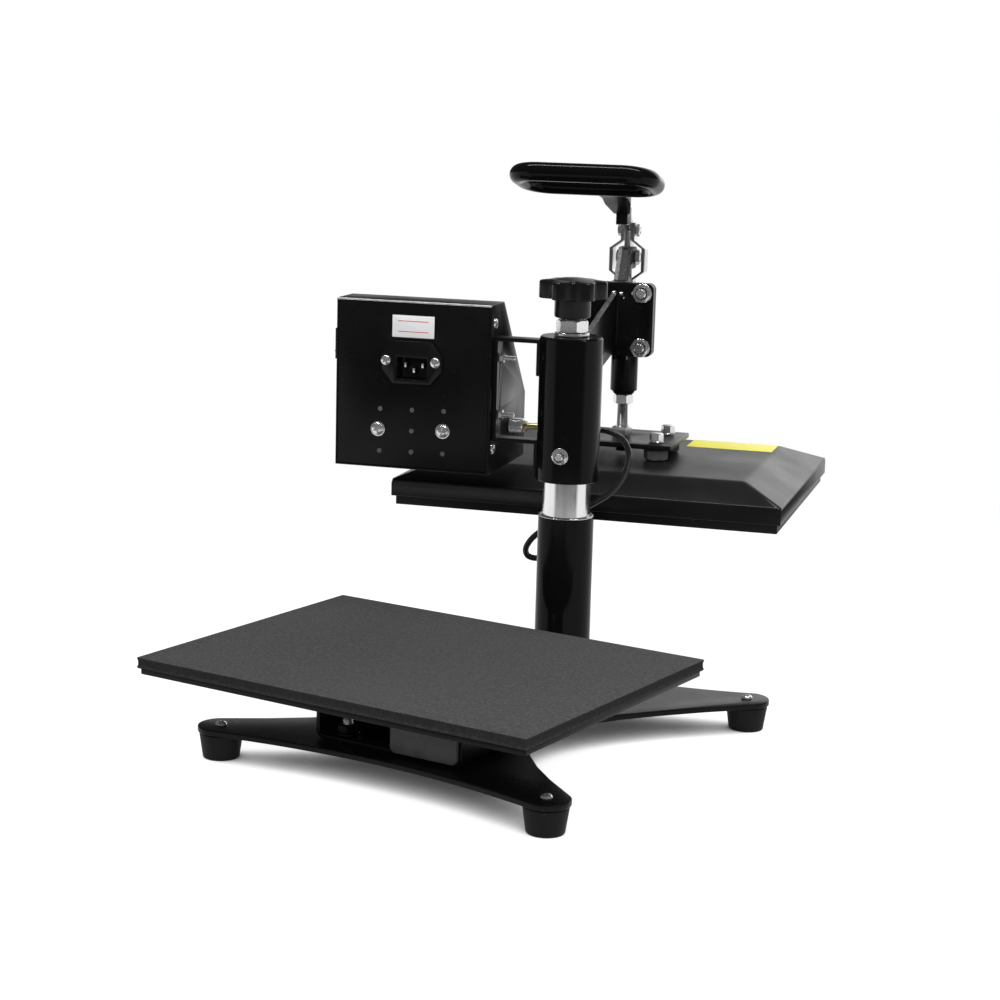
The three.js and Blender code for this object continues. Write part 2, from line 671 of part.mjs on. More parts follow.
function lockBolt() {
  const tip = SHAFT_RADIUS + RUNNING_GAP;
  const seat = SLEEVE_RADIUS + SEAT_GAP;
  const head = hexPost(LOCK_BOLT_AF, LOCK_BOLT_HEAD);
  const shank = post(LOCK_BOLT_RADIUS, seat + LOCK_BOLT_HEAD - tip, 0, 0, 0, SMALL_SIDES);
  return pointAlongY(join(head, shank)).translate(0, -seat - LOCK_BOLT_HEAD, LOCK_BOLT_HEIGHT);
}

const END_FACE_REACH = ARM_REACH - END_FACE_SETBACK;

function armGusset() {
  const root = SLEEVE_RADIUS + SEAT_GAP;
  const tip = END_FACE_REACH - SEAT_GAP;
  const shape = polygon([
    [root, GUSSET_ROOT_BOTTOM], [GUSSET_KNEE_REACH, GUSSET_KNEE_BOTTOM], [tip, GUSSET_TIP_BOTTOM],
    [tip, GUSSET_TIP_TOP], [root, GUSSET_ROOT_TOP],
  ]);
  return sidePlate(shape, GUSSET_THICKNESS);
}

function clampBoltPlaces() {
  return cornerPlaces(CLAMP_BOLT_SPACING_X, CLAMP_BOLT_SPACING_Z)
    .map(({ name, x, y }) => ({
      name: name.replace("front", "low").replace("rear", "high"), x, z: END_FACE_CENTRE_Z + y,
    }));
}

function clampBoltHoles(y, thickness) {
  return clampBoltPlaces().map(({ x, z }) =>
    pointAlongY(post(CLAMP_BOLT_RADIUS + HOLE_GAP, thickness + 2 * CUT_OVERRUN, 0, 0, 0, SMALL_SIDES))
      .translate(x, y - CUT_OVERRUN, z));
}

function endFaceShape() {
  return roundedRectangle(END_FACE_WIDTH, END_FACE_HEIGHT, END_FACE_CORNER_RADIUS, 0, END_FACE_CENTRE_Z);
}

function armEndFace() {
  const plate = facePlate(endFaceShape(), END_FACE_THICKNESS, END_FACE_REACH);
  return cut(plate, ...clampBoltHoles(END_FACE_REACH, END_FACE_THICKNESS));
}

const FLANGE_REACH = END_FACE_REACH + END_FACE_THICKNESS + SEAT_GAP;
const FLANGE_FRONT = FLANGE_REACH + CLAMP_FLANGE_THICKNESS;
const LEVER_SIDE = LEVER_THICKNESS / 2;
const CHEEK_INNER = LEVER_SIDE + RUNNING_GAP;

function clampBolt(x, z) {
  const back = END_FACE_REACH - SEAT_GAP - CLAMP_BOLT_HEAD;
  const front = FLANGE_FRONT + SEAT_GAP;
  const rearNut = hexPost(CLAMP_BOLT_AF, CLAMP_BOLT_HEAD);
  const frontHead = hexPost(CLAMP_BOLT_AF, CLAMP_BOLT_HEAD, 0, 0, front - back);
  const length = front - back + CLAMP_BOLT_HEAD + CLAMP_BOLT_TIP;
  const shank = post(CLAMP_BOLT_RADIUS, length, 0, 0, -CLAMP_BOLT_TIP, SMALL_SIDES);
  return pointAlongY(join(rearNut, frontHead, shank)).translate(x, back, z);
}

// One cheek beside the lever, with a round lug at the lever pivot and a neck on the guide
function cheek(side) {
  const back = FLANGE_FRONT - SEAT_GAP;
  const front = ARM_REACH - CHEEK_FRONT_GAP;
  const neckBack = ARM_REACH - CHEEK_NECK_SETBACK;
  const neckFront = ARM_REACH - CHEEK_NECK_FRONT_GAP;
  const neckTop = GUIDE_TOP - CUT_OVERRUN;
  const neckBottom = GUIDE_TOP - CHEEK_NECK_GRIP;
  const shape = new THREE.Shape();
  shape.moveTo(back, CHEEK_BOTTOM);
  shape.lineTo(neckBack, CHEEK_BOTTOM);
  shape.lineTo(neckBack, neckBottom);
  shape.lineTo(neckFront, neckBottom);
  shape.lineTo(neckFront, neckTop);
  shape.lineTo(front, neckTop);
  shape.lineTo(front, CHEEK_LUG_BOTTOM);
  shape.lineTo(ARM_REACH, LEVER_PIVOT_Z - LUG_RADIUS);
  shape.absarc(ARM_REACH, LEVER_PIVOT_Z, LUG_RADIUS, -Math.PI / 2, Math.PI / 2);
  shape.lineTo(front, LEVER_PIVOT_Z + LUG_RADIUS);
  shape.lineTo(back + CHEEK_SHOULDER, END_FACE_CENTRE_Z + END_FACE_HEIGHT / 2);
  shape.lineTo(back, END_FACE_CENTRE_Z + END_FACE_HEIGHT / 2);
  return sidePlate(shape, CHEEK_THICKNESS).translate(side * (CHEEK_INNER + CHEEK_THICKNESS / 2), 0, 0);
}

// The web fills the space between the cheeks behind the lever
function cheekWeb() {
  const back = FLANGE_FRONT - SEAT_GAP;
  const front = ARM_REACH - WEB_FRONT_GAP;
  const shoulder = END_FACE_CENTRE_Z + END_FACE_HEIGHT / 2;
  const top = LEVER_PIVOT_Z + LUG_RADIUS - CUT_OVERRUN;
  const shape = polygon([
    [back, CHEEK_BOTTOM], [front, CHEEK_BOTTOM], [front, top], [ARM_REACH - CHEEK_FRONT_GAP, top],
    [back + CHEEK_SHOULDER, shoulder], [back, shoulder],
  ]);
  return sidePlate(shape, 2 * (CHEEK_INNER + CUT_OVERRUN));
}

function clampBody() {
  const flange = facePlate(endFaceShape(), CLAMP_FLANGE_THICKNESS, FLANGE_REACH);
  const noseTop = GUIDE_BOTTOM + GUIDE_CHAMFER;
  const guide = post(GUIDE_RADIUS, GUIDE_TOP - noseTop, 0, ARM_REACH, noseTop);
  const nose = post(GUIDE_RADIUS - GUIDE_CHAMFER, GUIDE_CHAMFER + CUT_OVERRUN, 0, ARM_REACH, GUIDE_BOTTOM,
    ROD_SIDES, GUIDE_RADIUS);
  const body = join(flange, guide, nose, cheek(-1), cheek(1), cheekWeb());
  const boreHeight = GUIDE_TOP - GUIDE_BOTTOM + 2 * CUT_OVERRUN;
  const bore = post(PLUNGER_RADIUS + RUNNING_GAP, boreHeight, 0, ARM_REACH, GUIDE_BOTTOM - CUT_OVERRUN);
  const width = 2 * (CHEEK_INNER + CHEEK_THICKNESS + CUT_OVERRUN);
  const pivotHole = pointAlongX(post(PIVOT_BOLT_RADIUS + HOLE_GAP, width, 0, 0, 0, SMALL_SIDES))
    .translate(-width / 2, ARM_REACH, LEVER_PIVOT_Z);
  return cut(body, bore, pivotHole, ...clampBoltHoles(FLANGE_REACH, CLAMP_FLANGE_THICKNESS));
}

// A bolt across the clamp: a shank with a hexagon at each end
function crossBolt(radius, acrossFlats, headLength, innerHalf, z) {
  const half = innerHalf + headLength;
  const shank = post(radius, 2 * half, 0, 0, -half, SMALL_SIDES);
  const low = hexPost(acrossFlats, headLength, 0, 0, -half);
  const high = hexPost(acrossFlats, headLength, 0, 0, innerHalf);
  return pointAlongX(join(shank, low, high)).translate(0, ARM_REACH, z);
}

function leverPivotBolt() {
  const innerHalf = CHEEK_INNER + CHEEK_THICKNESS + SEAT_GAP;
  return crossBolt(PIVOT_BOLT_RADIUS, PIVOT_BOLT_AF, PIVOT_BOLT_HEAD, innerHalf, LEVER_PIVOT_Z);
}

// Bracket and cable connector beside the sleeve
const BRACKET_OUTER_X = -BOX_SIDE_REACH + SEAT_GAP;
const BRACKET_INNER_X = -SLEEVE_RADIUS + BRACKET_WIDTH / 2;
const BRACKET_BOLT_HEIGHTS = { high: BRACKET_BOLT_HIGH, low: BRACKET_BOLT_LOW };

// A thin tab bent round the sleeve
function bracketTab(height, z) {
  const [w, y] = [BRACKET_WIDTH, BRACKET_OFFSET];
  const ring = post(SLEEVE_RADIUS + SEAT_GAP + BRACKET_TAB_THICKNESS, height, 0, 0, z, LARGE_SIDES);
  return common(ring, block(w, w, height + 2 * CUT_OVERRUN, BRACKET_INNER_X - w / 2, y, z - CUT_OVERRUN));
}

function boxBracket() {
  const [t, w, y] = [BRACKET_THICKNESS, BRACKET_WIDTH, BRACKET_OFFSET];
  const span = BRACKET_INNER_X - BRACKET_OUTER_X;
  const middle = (BRACKET_INNER_X + BRACKET_OUTER_X) / 2;
  const tabEnd = BRACKET_BOTTOM - BRACKET_TAB_BOTTOM;
  const web = block(t, w, BRACKET_TOP - BRACKET_BOTTOM, BRACKET_OUTER_X + t / 2, y, BRACKET_BOTTOM);
  const topArm = block(span, w, t, middle, y, BRACKET_TOP - t);
  const lowArm = block(span, w, t, middle, y, BRACKET_BOTTOM);
  const topTab = bracketTab(BRACKET_TAB_TOP, BRACKET_TOP - BRACKET_TAB_TOP);
  const lowTab = bracketTab(BRACKET_TAB_BOTTOM + t, tabEnd);
  const sleeveSpace = post(SLEEVE_RADIUS + SEAT_GAP, BRACKET_TOP - tabEnd + 2 * CUT_OVERRUN, 0, 0,
    tabEnd - CUT_OVERRUN, LARGE_SIDES);
  const holes = Object.values(BRACKET_BOLT_HEIGHTS).map((z) =>
    pointAlongX(post(BRACKET_BOLT_RADIUS + HOLE_GAP, t + 2 * CUT_OVERRUN, 0, 0, 0, SMALL_SIDES))
      .translate(BRACKET_OUTER_X - CUT_OVERRUN, y, z));
  return cut(join(web, topArm, lowArm, topTab, lowTab), sleeveSpace, ...holes);
}

function bracketBolt(z) {
  const seat = BRACKET_OUTER_X + BRACKET_THICKNESS + SEAT_GAP;
  const inner = -BOX_SIDE_REACH - BOX_WALL - SEAT_GAP - BRACKET_BOLT_INNER;
  const end = seat + BRACKET_BOLT_NUT + BRACKET_BOLT_TIP;
  const shank = post(BRACKET_BOLT_RADIUS, end - inner, 0, 0, inner, SMALL_SIDES);
  const nut = hexPost(BRACKET_BOLT_AF, BRACKET_BOLT_NUT, 0, 0, seat);
  const head = post(BRACKET_BOLT_AF / 2, BRACKET_BOLT_INNER, 0, 0, inner, SMALL_SIDES);
  return pointAlongX(join(shank, nut, head)).translate(0, BRACKET_OFFSET, z);
}

function cableConnector() {
  const root = -BOX_SIDE_REACH + SEAT_GAP;
  const barrel = post(CONNECTOR_RADIUS, CONNECTOR_LENGTH, 0, 0, root);
  const tail = post(CONNECTOR_TAIL_RADIUS, CONNECTOR_TAIL_LENGTH + CUT_OVERRUN, 0, 0,
    root + CONNECTOR_LENGTH - CUT_OVERRUN, SMALL_SIDES);
  return pointAlongX(join(barrel, tail)).translate(0, CONNECTOR_REACH, CONNECTOR_Z);
}

// Control box
const BOX_RIGHT = -BOX_SIDE_REACH;
const BOX_LEFT = BOX_RIGHT - BOX_WIDTH;
const BOX_MIDDLE = (BOX_RIGHT + BOX_LEFT) / 2;
const BOX_BACK = -BOX_BACK_SETBACK;
const BOX_TOP = BOX_BOTTOM + BOX_HEIGHT;
const SLOPE_RUN = BOX_DEPTH - BOX_TOP_DEPTH;
const SLOPE_DROP = BOX_HEIGHT - BOX_FRONT_HEIGHT;
const SLOPE_ANGLE = Math.atan2(SLOPE_RUN, SLOPE_DROP) - Math.PI / 2;

// The box's outline, each face moved in by a wall, as reach and height
function boxOutline(wall, back) {
  const front = BOX_BACK + BOX_DEPTH - wall;
  const top = BOX_TOP - wall;
  const slopeLength = Math.hypot(SLOPE_RUN, SLOPE_DROP);
  const reachPerHeight = SLOPE_RUN / SLOPE_DROP;
  const reachAtTop = BOX_BACK + BOX_TOP_DEPTH - (wall * slopeLength) / SLOPE_DROP + wall * reachPerHeight;
  const heightAtFront = top - (front - reachAtTop) / reachPerHeight;
  const bottom = BOX_BOTTOM + wall;
  return polygon([[back, bottom], [front, bottom], [front, heightAtFront], [reachAtTop, top], [back, top]]);
}

// Places a piece built flat on the sloped panel: x across, y down the slope, z outwards
function ontoSlope(geometry) {
  const reach = BOX_BACK + BOX_TOP_DEPTH + SLOPE_RUN / 2;
  const height = BOX_TOP - SLOPE_DROP / 2;
  return geometry.rotateX(SLOPE_ANGLE).translate(BOX_MIDDLE, reach, height);
}

function buttonPlaces() {
  return [["set", -BUTTON_SPACING], ["down", 0], ["up", BUTTON_SPACING]];
}

function buttonHoles(height) {
  return buttonPlaces().map(([, x]) =>
    ontoSlope(post(BUTTON_RADIUS + RUNNING_GAP, height, x, BUTTON_OFFSET, -height / 2, SMALL_SIDES)));
}

function displayHole(height) {
  const [w, h] = [DISPLAY_WIDTH + 2 * SEAT_GAP, DISPLAY_HEIGHT + 2 * SEAT_GAP];
  return ontoSlope(block(w, h, height, 0, DISPLAY_OFFSET, -height / 2));
}

function boxShell() {
  const outside = sidePlate(boxOutline(0, BOX_BACK), BOX_WIDTH).translate(BOX_MIDDLE, 0, 0);
  const inside = sidePlate(boxOutline(BOX_WALL, BOX_BACK - CUT_OVERRUN), BOX_WIDTH - 2 * BOX_WALL)
    .translate(BOX_MIDDLE, 0, 0);
  const bracketHoles = Object.values(BRACKET_BOLT_HEIGHTS).map((z) =>
    pointAlongX(post(BRACKET_BOLT_RADIUS + HOLE_GAP, BOX_WALL + 2 * CUT_OVERRUN, 0, 0, 0, SMALL_SIDES))
      .translate(BOX_RIGHT - BOX_WALL - CUT_OVERRUN, BRACKET_OFFSET, z));
  const switchHole = block(BOX_WALL + 2 * CUT_OVERRUN, SWITCH_WIDTH - 2 * SWITCH_RIM + 2 * SEAT_GAP,
    SWITCH_HEIGHT - 2 * SWITCH_RIM + 2 * SEAT_GAP, BOX_LEFT + BOX_WALL / 2, -SWITCH_SETBACK,
    SWITCH_CENTRE_Z - SWITCH_HEIGHT / 2 + SWITCH_RIM - SEAT_GAP);
  const depth = BUTTON_LENGTH + 2 * CUT_OVERRUN;
  return cut(outside, inside, ...bracketHoles, switchHole, ...buttonHoles(depth), displayHole(depth));
}

// Back panel with two side flanges that the shell's side screws hold, one notched for the switch
function boxBack() {
  const width = BOX_WIDTH - 2 * BOX_WALL - 2 * SEAT_GAP;
  const height = BOX_HEIGHT - 2 * BOX_WALL - 2 * SEAT_GAP;
  const z = BOX_BOTTOM + BOX_WALL + SEAT_GAP;
  const panel = block(width, BOX_WALL, height, BOX_MIDDLE, BOX_BACK + BOX_WALL / 2, z);
  const flangeOut = (width - BOX_WALL) / 2;
  const flangeY = BOX_BACK + BACK_FLANGE / 2;
  const flanges = [-1, 1].map((side) =>
    block(BOX_WALL, BACK_FLANGE, height, BOX_MIDDLE + side * flangeOut, flangeY, z));
  const through = BOX_WALL + 2 * CUT_OVERRUN;
  const [holeWidth, holeHeight] = [INLET_BODY_WIDTH + 2 * SEAT_GAP, INLET_BODY_HEIGHT + 2 * SEAT_GAP];
  const inletHole = block(holeWidth, through, holeHeight, BOX_MIDDLE, BOX_BACK + BOX_WALL / 2,
    INLET_CENTRE_Z - holeHeight / 2);
  const notchBack = -SWITCH_SETBACK - SWITCH_WIDTH / 2 + SWITCH_RIM - SEAT_GAP;
  const notchDepth = BOX_BACK + BACK_FLANGE + CUT_OVERRUN - notchBack;
  const notchHeight = SWITCH_HEIGHT - 2 * SWITCH_RIM + 2 * SEAT_GAP;
  const switchNotch = block(through, notchDepth, notchHeight, BOX_MIDDLE - flangeOut, notchBack + notchDepth / 2,
    SWITCH_CENTRE_Z - notchHeight / 2);
  return cut(join(panel, ...flanges), inletHole, switchNotch);
}

function inletFlangeShape() {
  const [w, h, c] = [INLET_FLANGE_WIDTH / 2, INLET_FLANGE_HEIGHT / 2, INLET_CORNER_CUT];
  const outline = [
    [-w, -h / 3], [-w + c, -h], [w - c, -h], [w, -h / 3], [w, h / 3], [w - c, h], [-w + c, h], [-w, h / 3],
  ];
  return polygon(outline.map(([a, b]) => [a + BOX_MIDDLE, b + INLET_CENTRE_Z]));
}

function inletSocket() {
  const front = BOX_BACK - SEAT_GAP - INLET_FLANGE_THICKNESS;
  const flange = facePlate(inletFlangeShape(), INLET_FLANGE_THICKNESS, front);
  const bodyDepth = INLET_BODY_DEPTH;
  const body = block(INLET_BODY_WIDTH, bodyDepth, INLET_BODY_HEIGHT, BOX_MIDDLE,
    front + INLET_FLANGE_THICKNESS / 2 + bodyDepth / 2, INLET_CENTRE_Z - INLET_BODY_HEIGHT / 2);
  const recessZ = INLET_CENTRE_Z - INLET_RECESS_DROP;
  const recess = block(INLET_RECESS_WIDTH, INLET_RECESS_DEPTH + CUT_OVERRUN, INLET_RECESS_HEIGHT, BOX_MIDDLE,
    front + (INLET_RECESS_DEPTH - CUT_OVERRUN) / 2, recessZ - INLET_RECESS_HEIGHT / 2);
  const hollow = cut(join(flange, body), recess);
  const pinPlaces = [[-INLET_PIN_SPACING / 2, INLET_PIN_OFFSET], [INLET_PIN_SPACING / 2, INLET_PIN_OFFSET],
    [0, -INLET_PIN_OFFSET]];
  const pinY = front + INLET_RECESS_DEPTH + (CUT_OVERRUN - INLET_PIN_LENGTH) / 2;
  const pins = pinPlaces.map(([x, z]) =>
    block(INLET_PIN_WIDTH, INLET_PIN_LENGTH, INLET_PIN_HEIGHT, BOX_MIDDLE + x, pinY,
      recessZ + z - INLET_PIN_HEIGHT / 2));
  return join(hollow, ...pins);
}

function relay() {
  const back = BOX_BACK + BOX_WALL + SEAT_GAP;
  return block(RELAY_WIDTH, RELAY_DEPTH, RELAY_HEIGHT, BOX_MIDDLE, back + RELAY_DEPTH / 2,
    RELAY_CENTRE_Z - RELAY_HEIGHT / 2);
}

// The board hangs on four posts from the sloped wall
function controllerBoard() {
  const board = block(BOARD_WIDTH, BOARD_HEIGHT, BOARD_THICKNESS, 0, 0, -BOARD_BEHIND - BOARD_THICKNESS);
  const places = cornerPlaces(BOARD_WIDTH - 2 * BOARD_POST_INSET, BOARD_HEIGHT - 2 * BOARD_POST_INSET);
  const bottom = -BOARD_BEHIND - BOARD_THICKNESS / 2;
  const posts = places.map(({ x, y }) =>
    post(BOARD_POST_RADIUS, -BOX_WALL - SEAT_GAP - bottom, x, y, bottom, SMALL_SIDES));
  return ontoSlope(join(board, ...posts));
}

function controlPanel() {
  const shape = roundedRectangle(PANEL_WIDTH, PANEL_HEIGHT, PANEL_CORNER_RADIUS);
  const plate = ontoSlope(sheet(shape, PANEL_THICKNESS).translate(0, 0, SEAT_GAP));
  const depth = BUTTON_LENGTH + 2 * CUT_OVERRUN;
  return cut(plate, ...buttonHoles(depth), displayHole(depth));
}

function displayWindow() {
  const bottom = PANEL_THICKNESS - DISPLAY_THICKNESS;
  return ontoSlope(block(DISPLAY_WIDTH, DISPLAY_HEIGHT, DISPLAY_THICKNESS, 0, DISPLAY_OFFSET, bottom));
}

function button(x) {
  const top = PANEL_THICKNESS + BUTTON_PROUD;
  return ontoSlope(post(BUTTON_RADIUS, BUTTON_LENGTH, x, BUTTON_OFFSET, top - BUTTON_LENGTH, SMALL_SIDES));
}

// The switch frame stands on the box's left side, and the rocker tilts in its pocket
function switchFrame() {
  const outer = BOX_LEFT - SEAT_GAP;
  const rim = block(SWITCH_FRAME, SWITCH_WIDTH, SWITCH_HEIGHT, outer - SWITCH_FRAME / 2, -SWITCH_SETBACK,
    SWITCH_CENTRE_Z - SWITCH_HEIGHT / 2);
  const bodyWidth = SWITCH_WIDTH - 2 * SWITCH_RIM;
  const bodyHeight = SWITCH_HEIGHT - 2 * SWITCH_RIM;
  const bodyX = outer + (SWITCH_BODY_DEPTH - SWITCH_FRAME) / 2;
  const body = block(SWITCH_BODY_DEPTH, bodyWidth, bodyHeight, bodyX, -SWITCH_SETBACK,
    SWITCH_CENTRE_Z - bodyHeight / 2);
  const wall = SWITCH_RIM / 2;
  const pocket = block(SWITCH_POCKET_DEPTH + CUT_OVERRUN, bodyWidth - 2 * wall, bodyHeight - 2 * wall,
    outer - SWITCH_FRAME + (SWITCH_POCKET_DEPTH - CUT_OVERRUN) / 2, -SWITCH_SETBACK,
    SWITCH_CENTRE_Z - bodyHeight / 2 + wall);
  return cut(join(rim, body), pocket);
}

function powerRocker() {
  const half = (SWITCH_HEIGHT - 3 * SWITCH_RIM) / 2 - ROCKER_END_GAP;
  const width = SWITCH_WIDTH - 3 * SWITCH_RIM - 2 * RUNNING_GAP;
  const [t, p] = [ROCKER_THICKNESS, ROCKER_PEAK];
  const shape = polygon([[-t / 2, -half + p], [0, -half], [t / 2 + p, -half], [t / 2, 0], [t / 2 + p, half],
    [0, half], [-t / 2, half - p]]);
  const body = sheet(shape, width).translate(0, 0, -width / 2).rotateX(Math.PI / 2).rotateZ(Math.PI);
  const tilt = THREE.MathUtils.degToRad(ROCKER_TILT_DEGREES);
  return body.rotateY(tilt)
    .translate(BOX_LEFT - SEAT_GAP - SWITCH_FRAME + ROCKER_SINK, -SWITCH_SETBACK, SWITCH_CENTRE_Z);
}

function buildBox(head) {
  addPiece(head, "box_shell", boxShell(), BLACK_PAINT);
  addPiece(head, "box_back", boxBack(), BLACK_PAINT);
  addPiece(head, "inlet_socket", inletSocket(), BLACK_PLASTIC);
  addPiece(head, "solid_state_relay", relay(), WHITE_PLASTIC);
  addPiece(head, "controller_board", controllerBoard(), GREEN_BOARD);
  addPiece(head, "control_panel", controlPanel(), BLACK_PLASTIC);
  addPiece(head, "display_window", displayWindow(), DISPLAY_GLASS);
  for (const [name, x] of buttonPlaces()) addPiece(head, `button_${name}`, button(x), WHITE_PLASTIC);
  addPiece(head, "switch_frame", switchFrame(), BLACK_PLASTIC);
  addPiece(head, "power_rocker", powerRocker(), RED_PLASTIC);
  addPiece(head, "box_bracket", boxBracket(), BLACK_PAINT);
  for (const [name, z] of Object.entries(BRACKET_BOLT_HEIGHTS)) {
    addPiece(head, `bracket_bolt_${name}`, bracketBolt(z), ZINC);
  }
  addPiece(head, "cable_connector", cableConnector(), BRASS);
}

// Lever, links and handle
const CRANK_Z = LEVER_PIVOT_Z + LEVER_CRANK;
const NECK_REACH = ARM_REACH - LEVER_NECK_SETBACK;

function leverSidePlate() {
  const [y, r] = [ARM_REACH, LEVER_EYE_RADIUS];
  const shape = new THREE.Shape();
  shape.moveTo(y - r, LEVER_PIVOT_Z);
  shape.absarc(y, LEVER_PIVOT_Z, r, Math.PI, 2 * Math.PI);
  shape.lineTo(y + r, CRANK_Z);
  shape.absarc(y, CRANK_Z, r, 0, Math.PI / 3);
  shape.lineTo(NECK_REACH + LEVER_NECK_WIDTH / 2, LEVER_NECK_Z);
  shape.lineTo(NECK_REACH - LEVER_NECK_WIDTH / 2, LEVER_NECK_Z - LEVER_NECK_WIDTH / 2);
  shape.lineTo(y - r, CRANK_Z);
  return sidePlate(shape, LEVER_THICKNESS);
}

// The arm is a flat bar, wide at the handle, with a narrow socket round the lever's side plate
function leverArmBar() {
  const start = NECK_REACH + LEVER_NECK_WIDTH / 2;
  const knee = ARM_REACH - ARM_KNEE_REACH;
  const end = ARM_REACH - HANDLE_FAR_REACH + HANDLE_ROD_RADIUS + SEAT_GAP;
  const low = LEVER_NECK_Z - LEVER_NECK_WIDTH / 2;
  const t = ARM_THICKNESS;
  const kneeLow = ARM_KNEE_Z - t / 2;
  const endLow = HANDLE_FAR_Z - t / 2;
  const side = polygon([
    [start, low], [start, low + t], [knee, kneeLow + t], [end, endLow + t], [end, endLow], [knee, kneeLow],
    [NECK_REACH - LEVER_NECK_WIDTH / 2, low],
  ]);
  const flareEnd = NECK_REACH - ARM_FLARE_RUN;
  const [n, w] = [ARM_NECK_WIDTH / 2, ARM_WIDTH / 2];
  const plan = polygon([
    [n, start], [n, NECK_REACH], [w, flareEnd], [w, end],
    [-w, end], [-w, flareEnd], [-n, NECK_REACH], [-n, start],
  ]);
  const column = sheet(plan, HANDLE_FAR_Z - LEVER_NECK_Z + 2 * t).translate(0, 0, LEVER_NECK_Z - t);
  const bar = common(sidePlate(side, ARM_WIDTH + 2 * CUT_OVERRUN), column);
  const socket = block(ARM_NECK_WIDTH, ARM_SOCKET_DEPTH, ARM_SOCKET_HEIGHT, 0, NECK_REACH,
    LEVER_NECK_Z - ARM_SOCKET_HEIGHT);
  return join(bar, socket);
}

function lever() {
  const width = LEVER_THICKNESS + 2 * CUT_OVERRUN;
  const holes = [[PIVOT_BOLT_RADIUS + RUNNING_GAP, LEVER_PIVOT_Z], [LINK_PIN_RADIUS + HOLE_GAP, CRANK_Z]]
    .map(([radius, z]) =>
      pointAlongX(post(radius, width, 0, 0, 0, SMALL_SIDES)).translate(-width / 2, ARM_REACH, z));
  return cut(join(leverSidePlate(), leverArmBar()), ...holes);
}

// A closed round bar along a flat rounded rectangle, built flat and then tilted
function handleLoop() {
  const straightX = HANDLE_LENGTH - 2 * HANDLE_ROD_RADIUS;
  const outline = roundedRectangle(straightX, HANDLE_DEPTH, HANDLE_CORNER_RADIUS, 0, -HANDLE_DEPTH / 2);
  const path = outline.getPoints(ARC_STEPS)
    .filter((point, i, all) => i === 0 || point.distanceTo(all[i - 1]) > SEAT_GAP);
  if (path[0].distanceTo(path[path.length - 1]) < SEAT_GAP) path.pop();
  const positions = [];
  const triangles = [];
  path.forEach((point, i) => {
    const before = path[(i + path.length - 1) % path.length];
    const after = path[(i + 1) % path.length];
    const along = after.clone().sub(before).normalize();
    for (let k = 0; k < HANDLE_SIDES; k += 1) {
      const angle = (2 * Math.PI * k) / HANDLE_SIDES;
      const out = HANDLE_ROD_RADIUS * Math.cos(angle);
      positions.push(point.x + along.y * out, point.y - along.x * out, HANDLE_ROD_RADIUS * Math.sin(angle));
      const next = (k + 1) % HANDLE_SIDES;
      const row = i * HANDLE_SIDES;
      const rowAfter = ((i + 1) % path.length) * HANDLE_SIDES;
      triangles.push(row + k, rowAfter + k, rowAfter + next, row + k, rowAfter + next, row + next);
    }
  });
  const geometry = new THREE.BufferGeometry();
  geometry.setAttribute("position", new THREE.Float32BufferAttribute(positions, 3));
  geometry.setIndex(triangles);
  geometry.computeVertexNormals();
  return geometry.rotateX(-THREE.MathUtils.degToRad(HANDLE_TILT_DEGREES))
    .translate(HANDLE_SIDE, ARM_REACH - HANDLE_FAR_REACH, HANDLE_FAR_Z);
}

const LINK_INNER = LEVER_SIDE + RUNNING_GAP;

function linkPin() {
  const innerHalf = LINK_INNER + LINK_THICKNESS + RUNNING_GAP;
  return crossBolt(LINK_PIN_RADIUS, LINK_PIN_AF, LINK_PIN_HEAD, innerHalf, CRANK_Z);
}

// A bowed strip from the crank pin down to the plunger, drawn as side and height
function link(side) {
  const [t, a, b] = [LINK_THICKNESS, LINK_INNER, LINK_INNER + LINK_BOW];
  const top = CRANK_Z + LINK_WIDTH / 2;
  const bottom = CRANK_Z - LINK_LENGTH - LINK_WIDTH / 2;
  const bowTop = CRANK_Z - LINK_END_FLAT;
  const bowBottom = CRANK_Z - LINK_LENGTH + LINK_END_FLAT;
  const inner = [[a, bottom], [a, bowBottom], [b, bowBottom + LINK_BEND_RUN], [b, bowTop - LINK_BEND_RUN],
    [a, bowTop], [a, top]];
  const outer = inner.map(([x, z]) => [x + t, z]).reverse();
  const strip = facePlate(polygon([...inner, ...outer].reverse()), LINK_WIDTH, ARM_REACH - LINK_WIDTH / 2);
  const pinHole = pointAlongX(post(LINK_PIN_RADIUS + RUNNING_GAP, t + 2 * CUT_OVERRUN, 0, 0, 0, SMALL_SIDES))
    .translate(a - CUT_OVERRUN, ARM_REACH, CRANK_Z);
  const rivet = pointAlongX(post(LINK_RIVET_RADIUS, LINK_RIVET_HEAD + t / 2, 0, 0, 0, SMALL_SIDES))
    .translate(a + t / 2, ARM_REACH, CRANK_Z - LINK_LENGTH);
  const right = join(cut(strip, pinHole), rivet);
  return side > 0 ? right : right.rotateZ(Math.PI).translate(0, 2 * ARM_REACH, 0);
}

// Plunger and platen
const HEATING_PLATE_TOP = PLATEN_BOTTOM + HEATING_PLATE_THICKNESS;
const PLATEN_TOP = PLATEN_BOTTOM + PLATEN_LIP + SKIRT_HEIGHT + HIP_HEIGHT;
const SPACER_Z = PLATEN_TOP + SEAT_GAP;
const FLOAT_PLATE_Z = SPACER_Z + SPACER_HEIGHT + SEAT_GAP;
const FLOAT_PLATE_TOP = FLOAT_PLATE_Z + FLOAT_PLATE_THICKNESS;

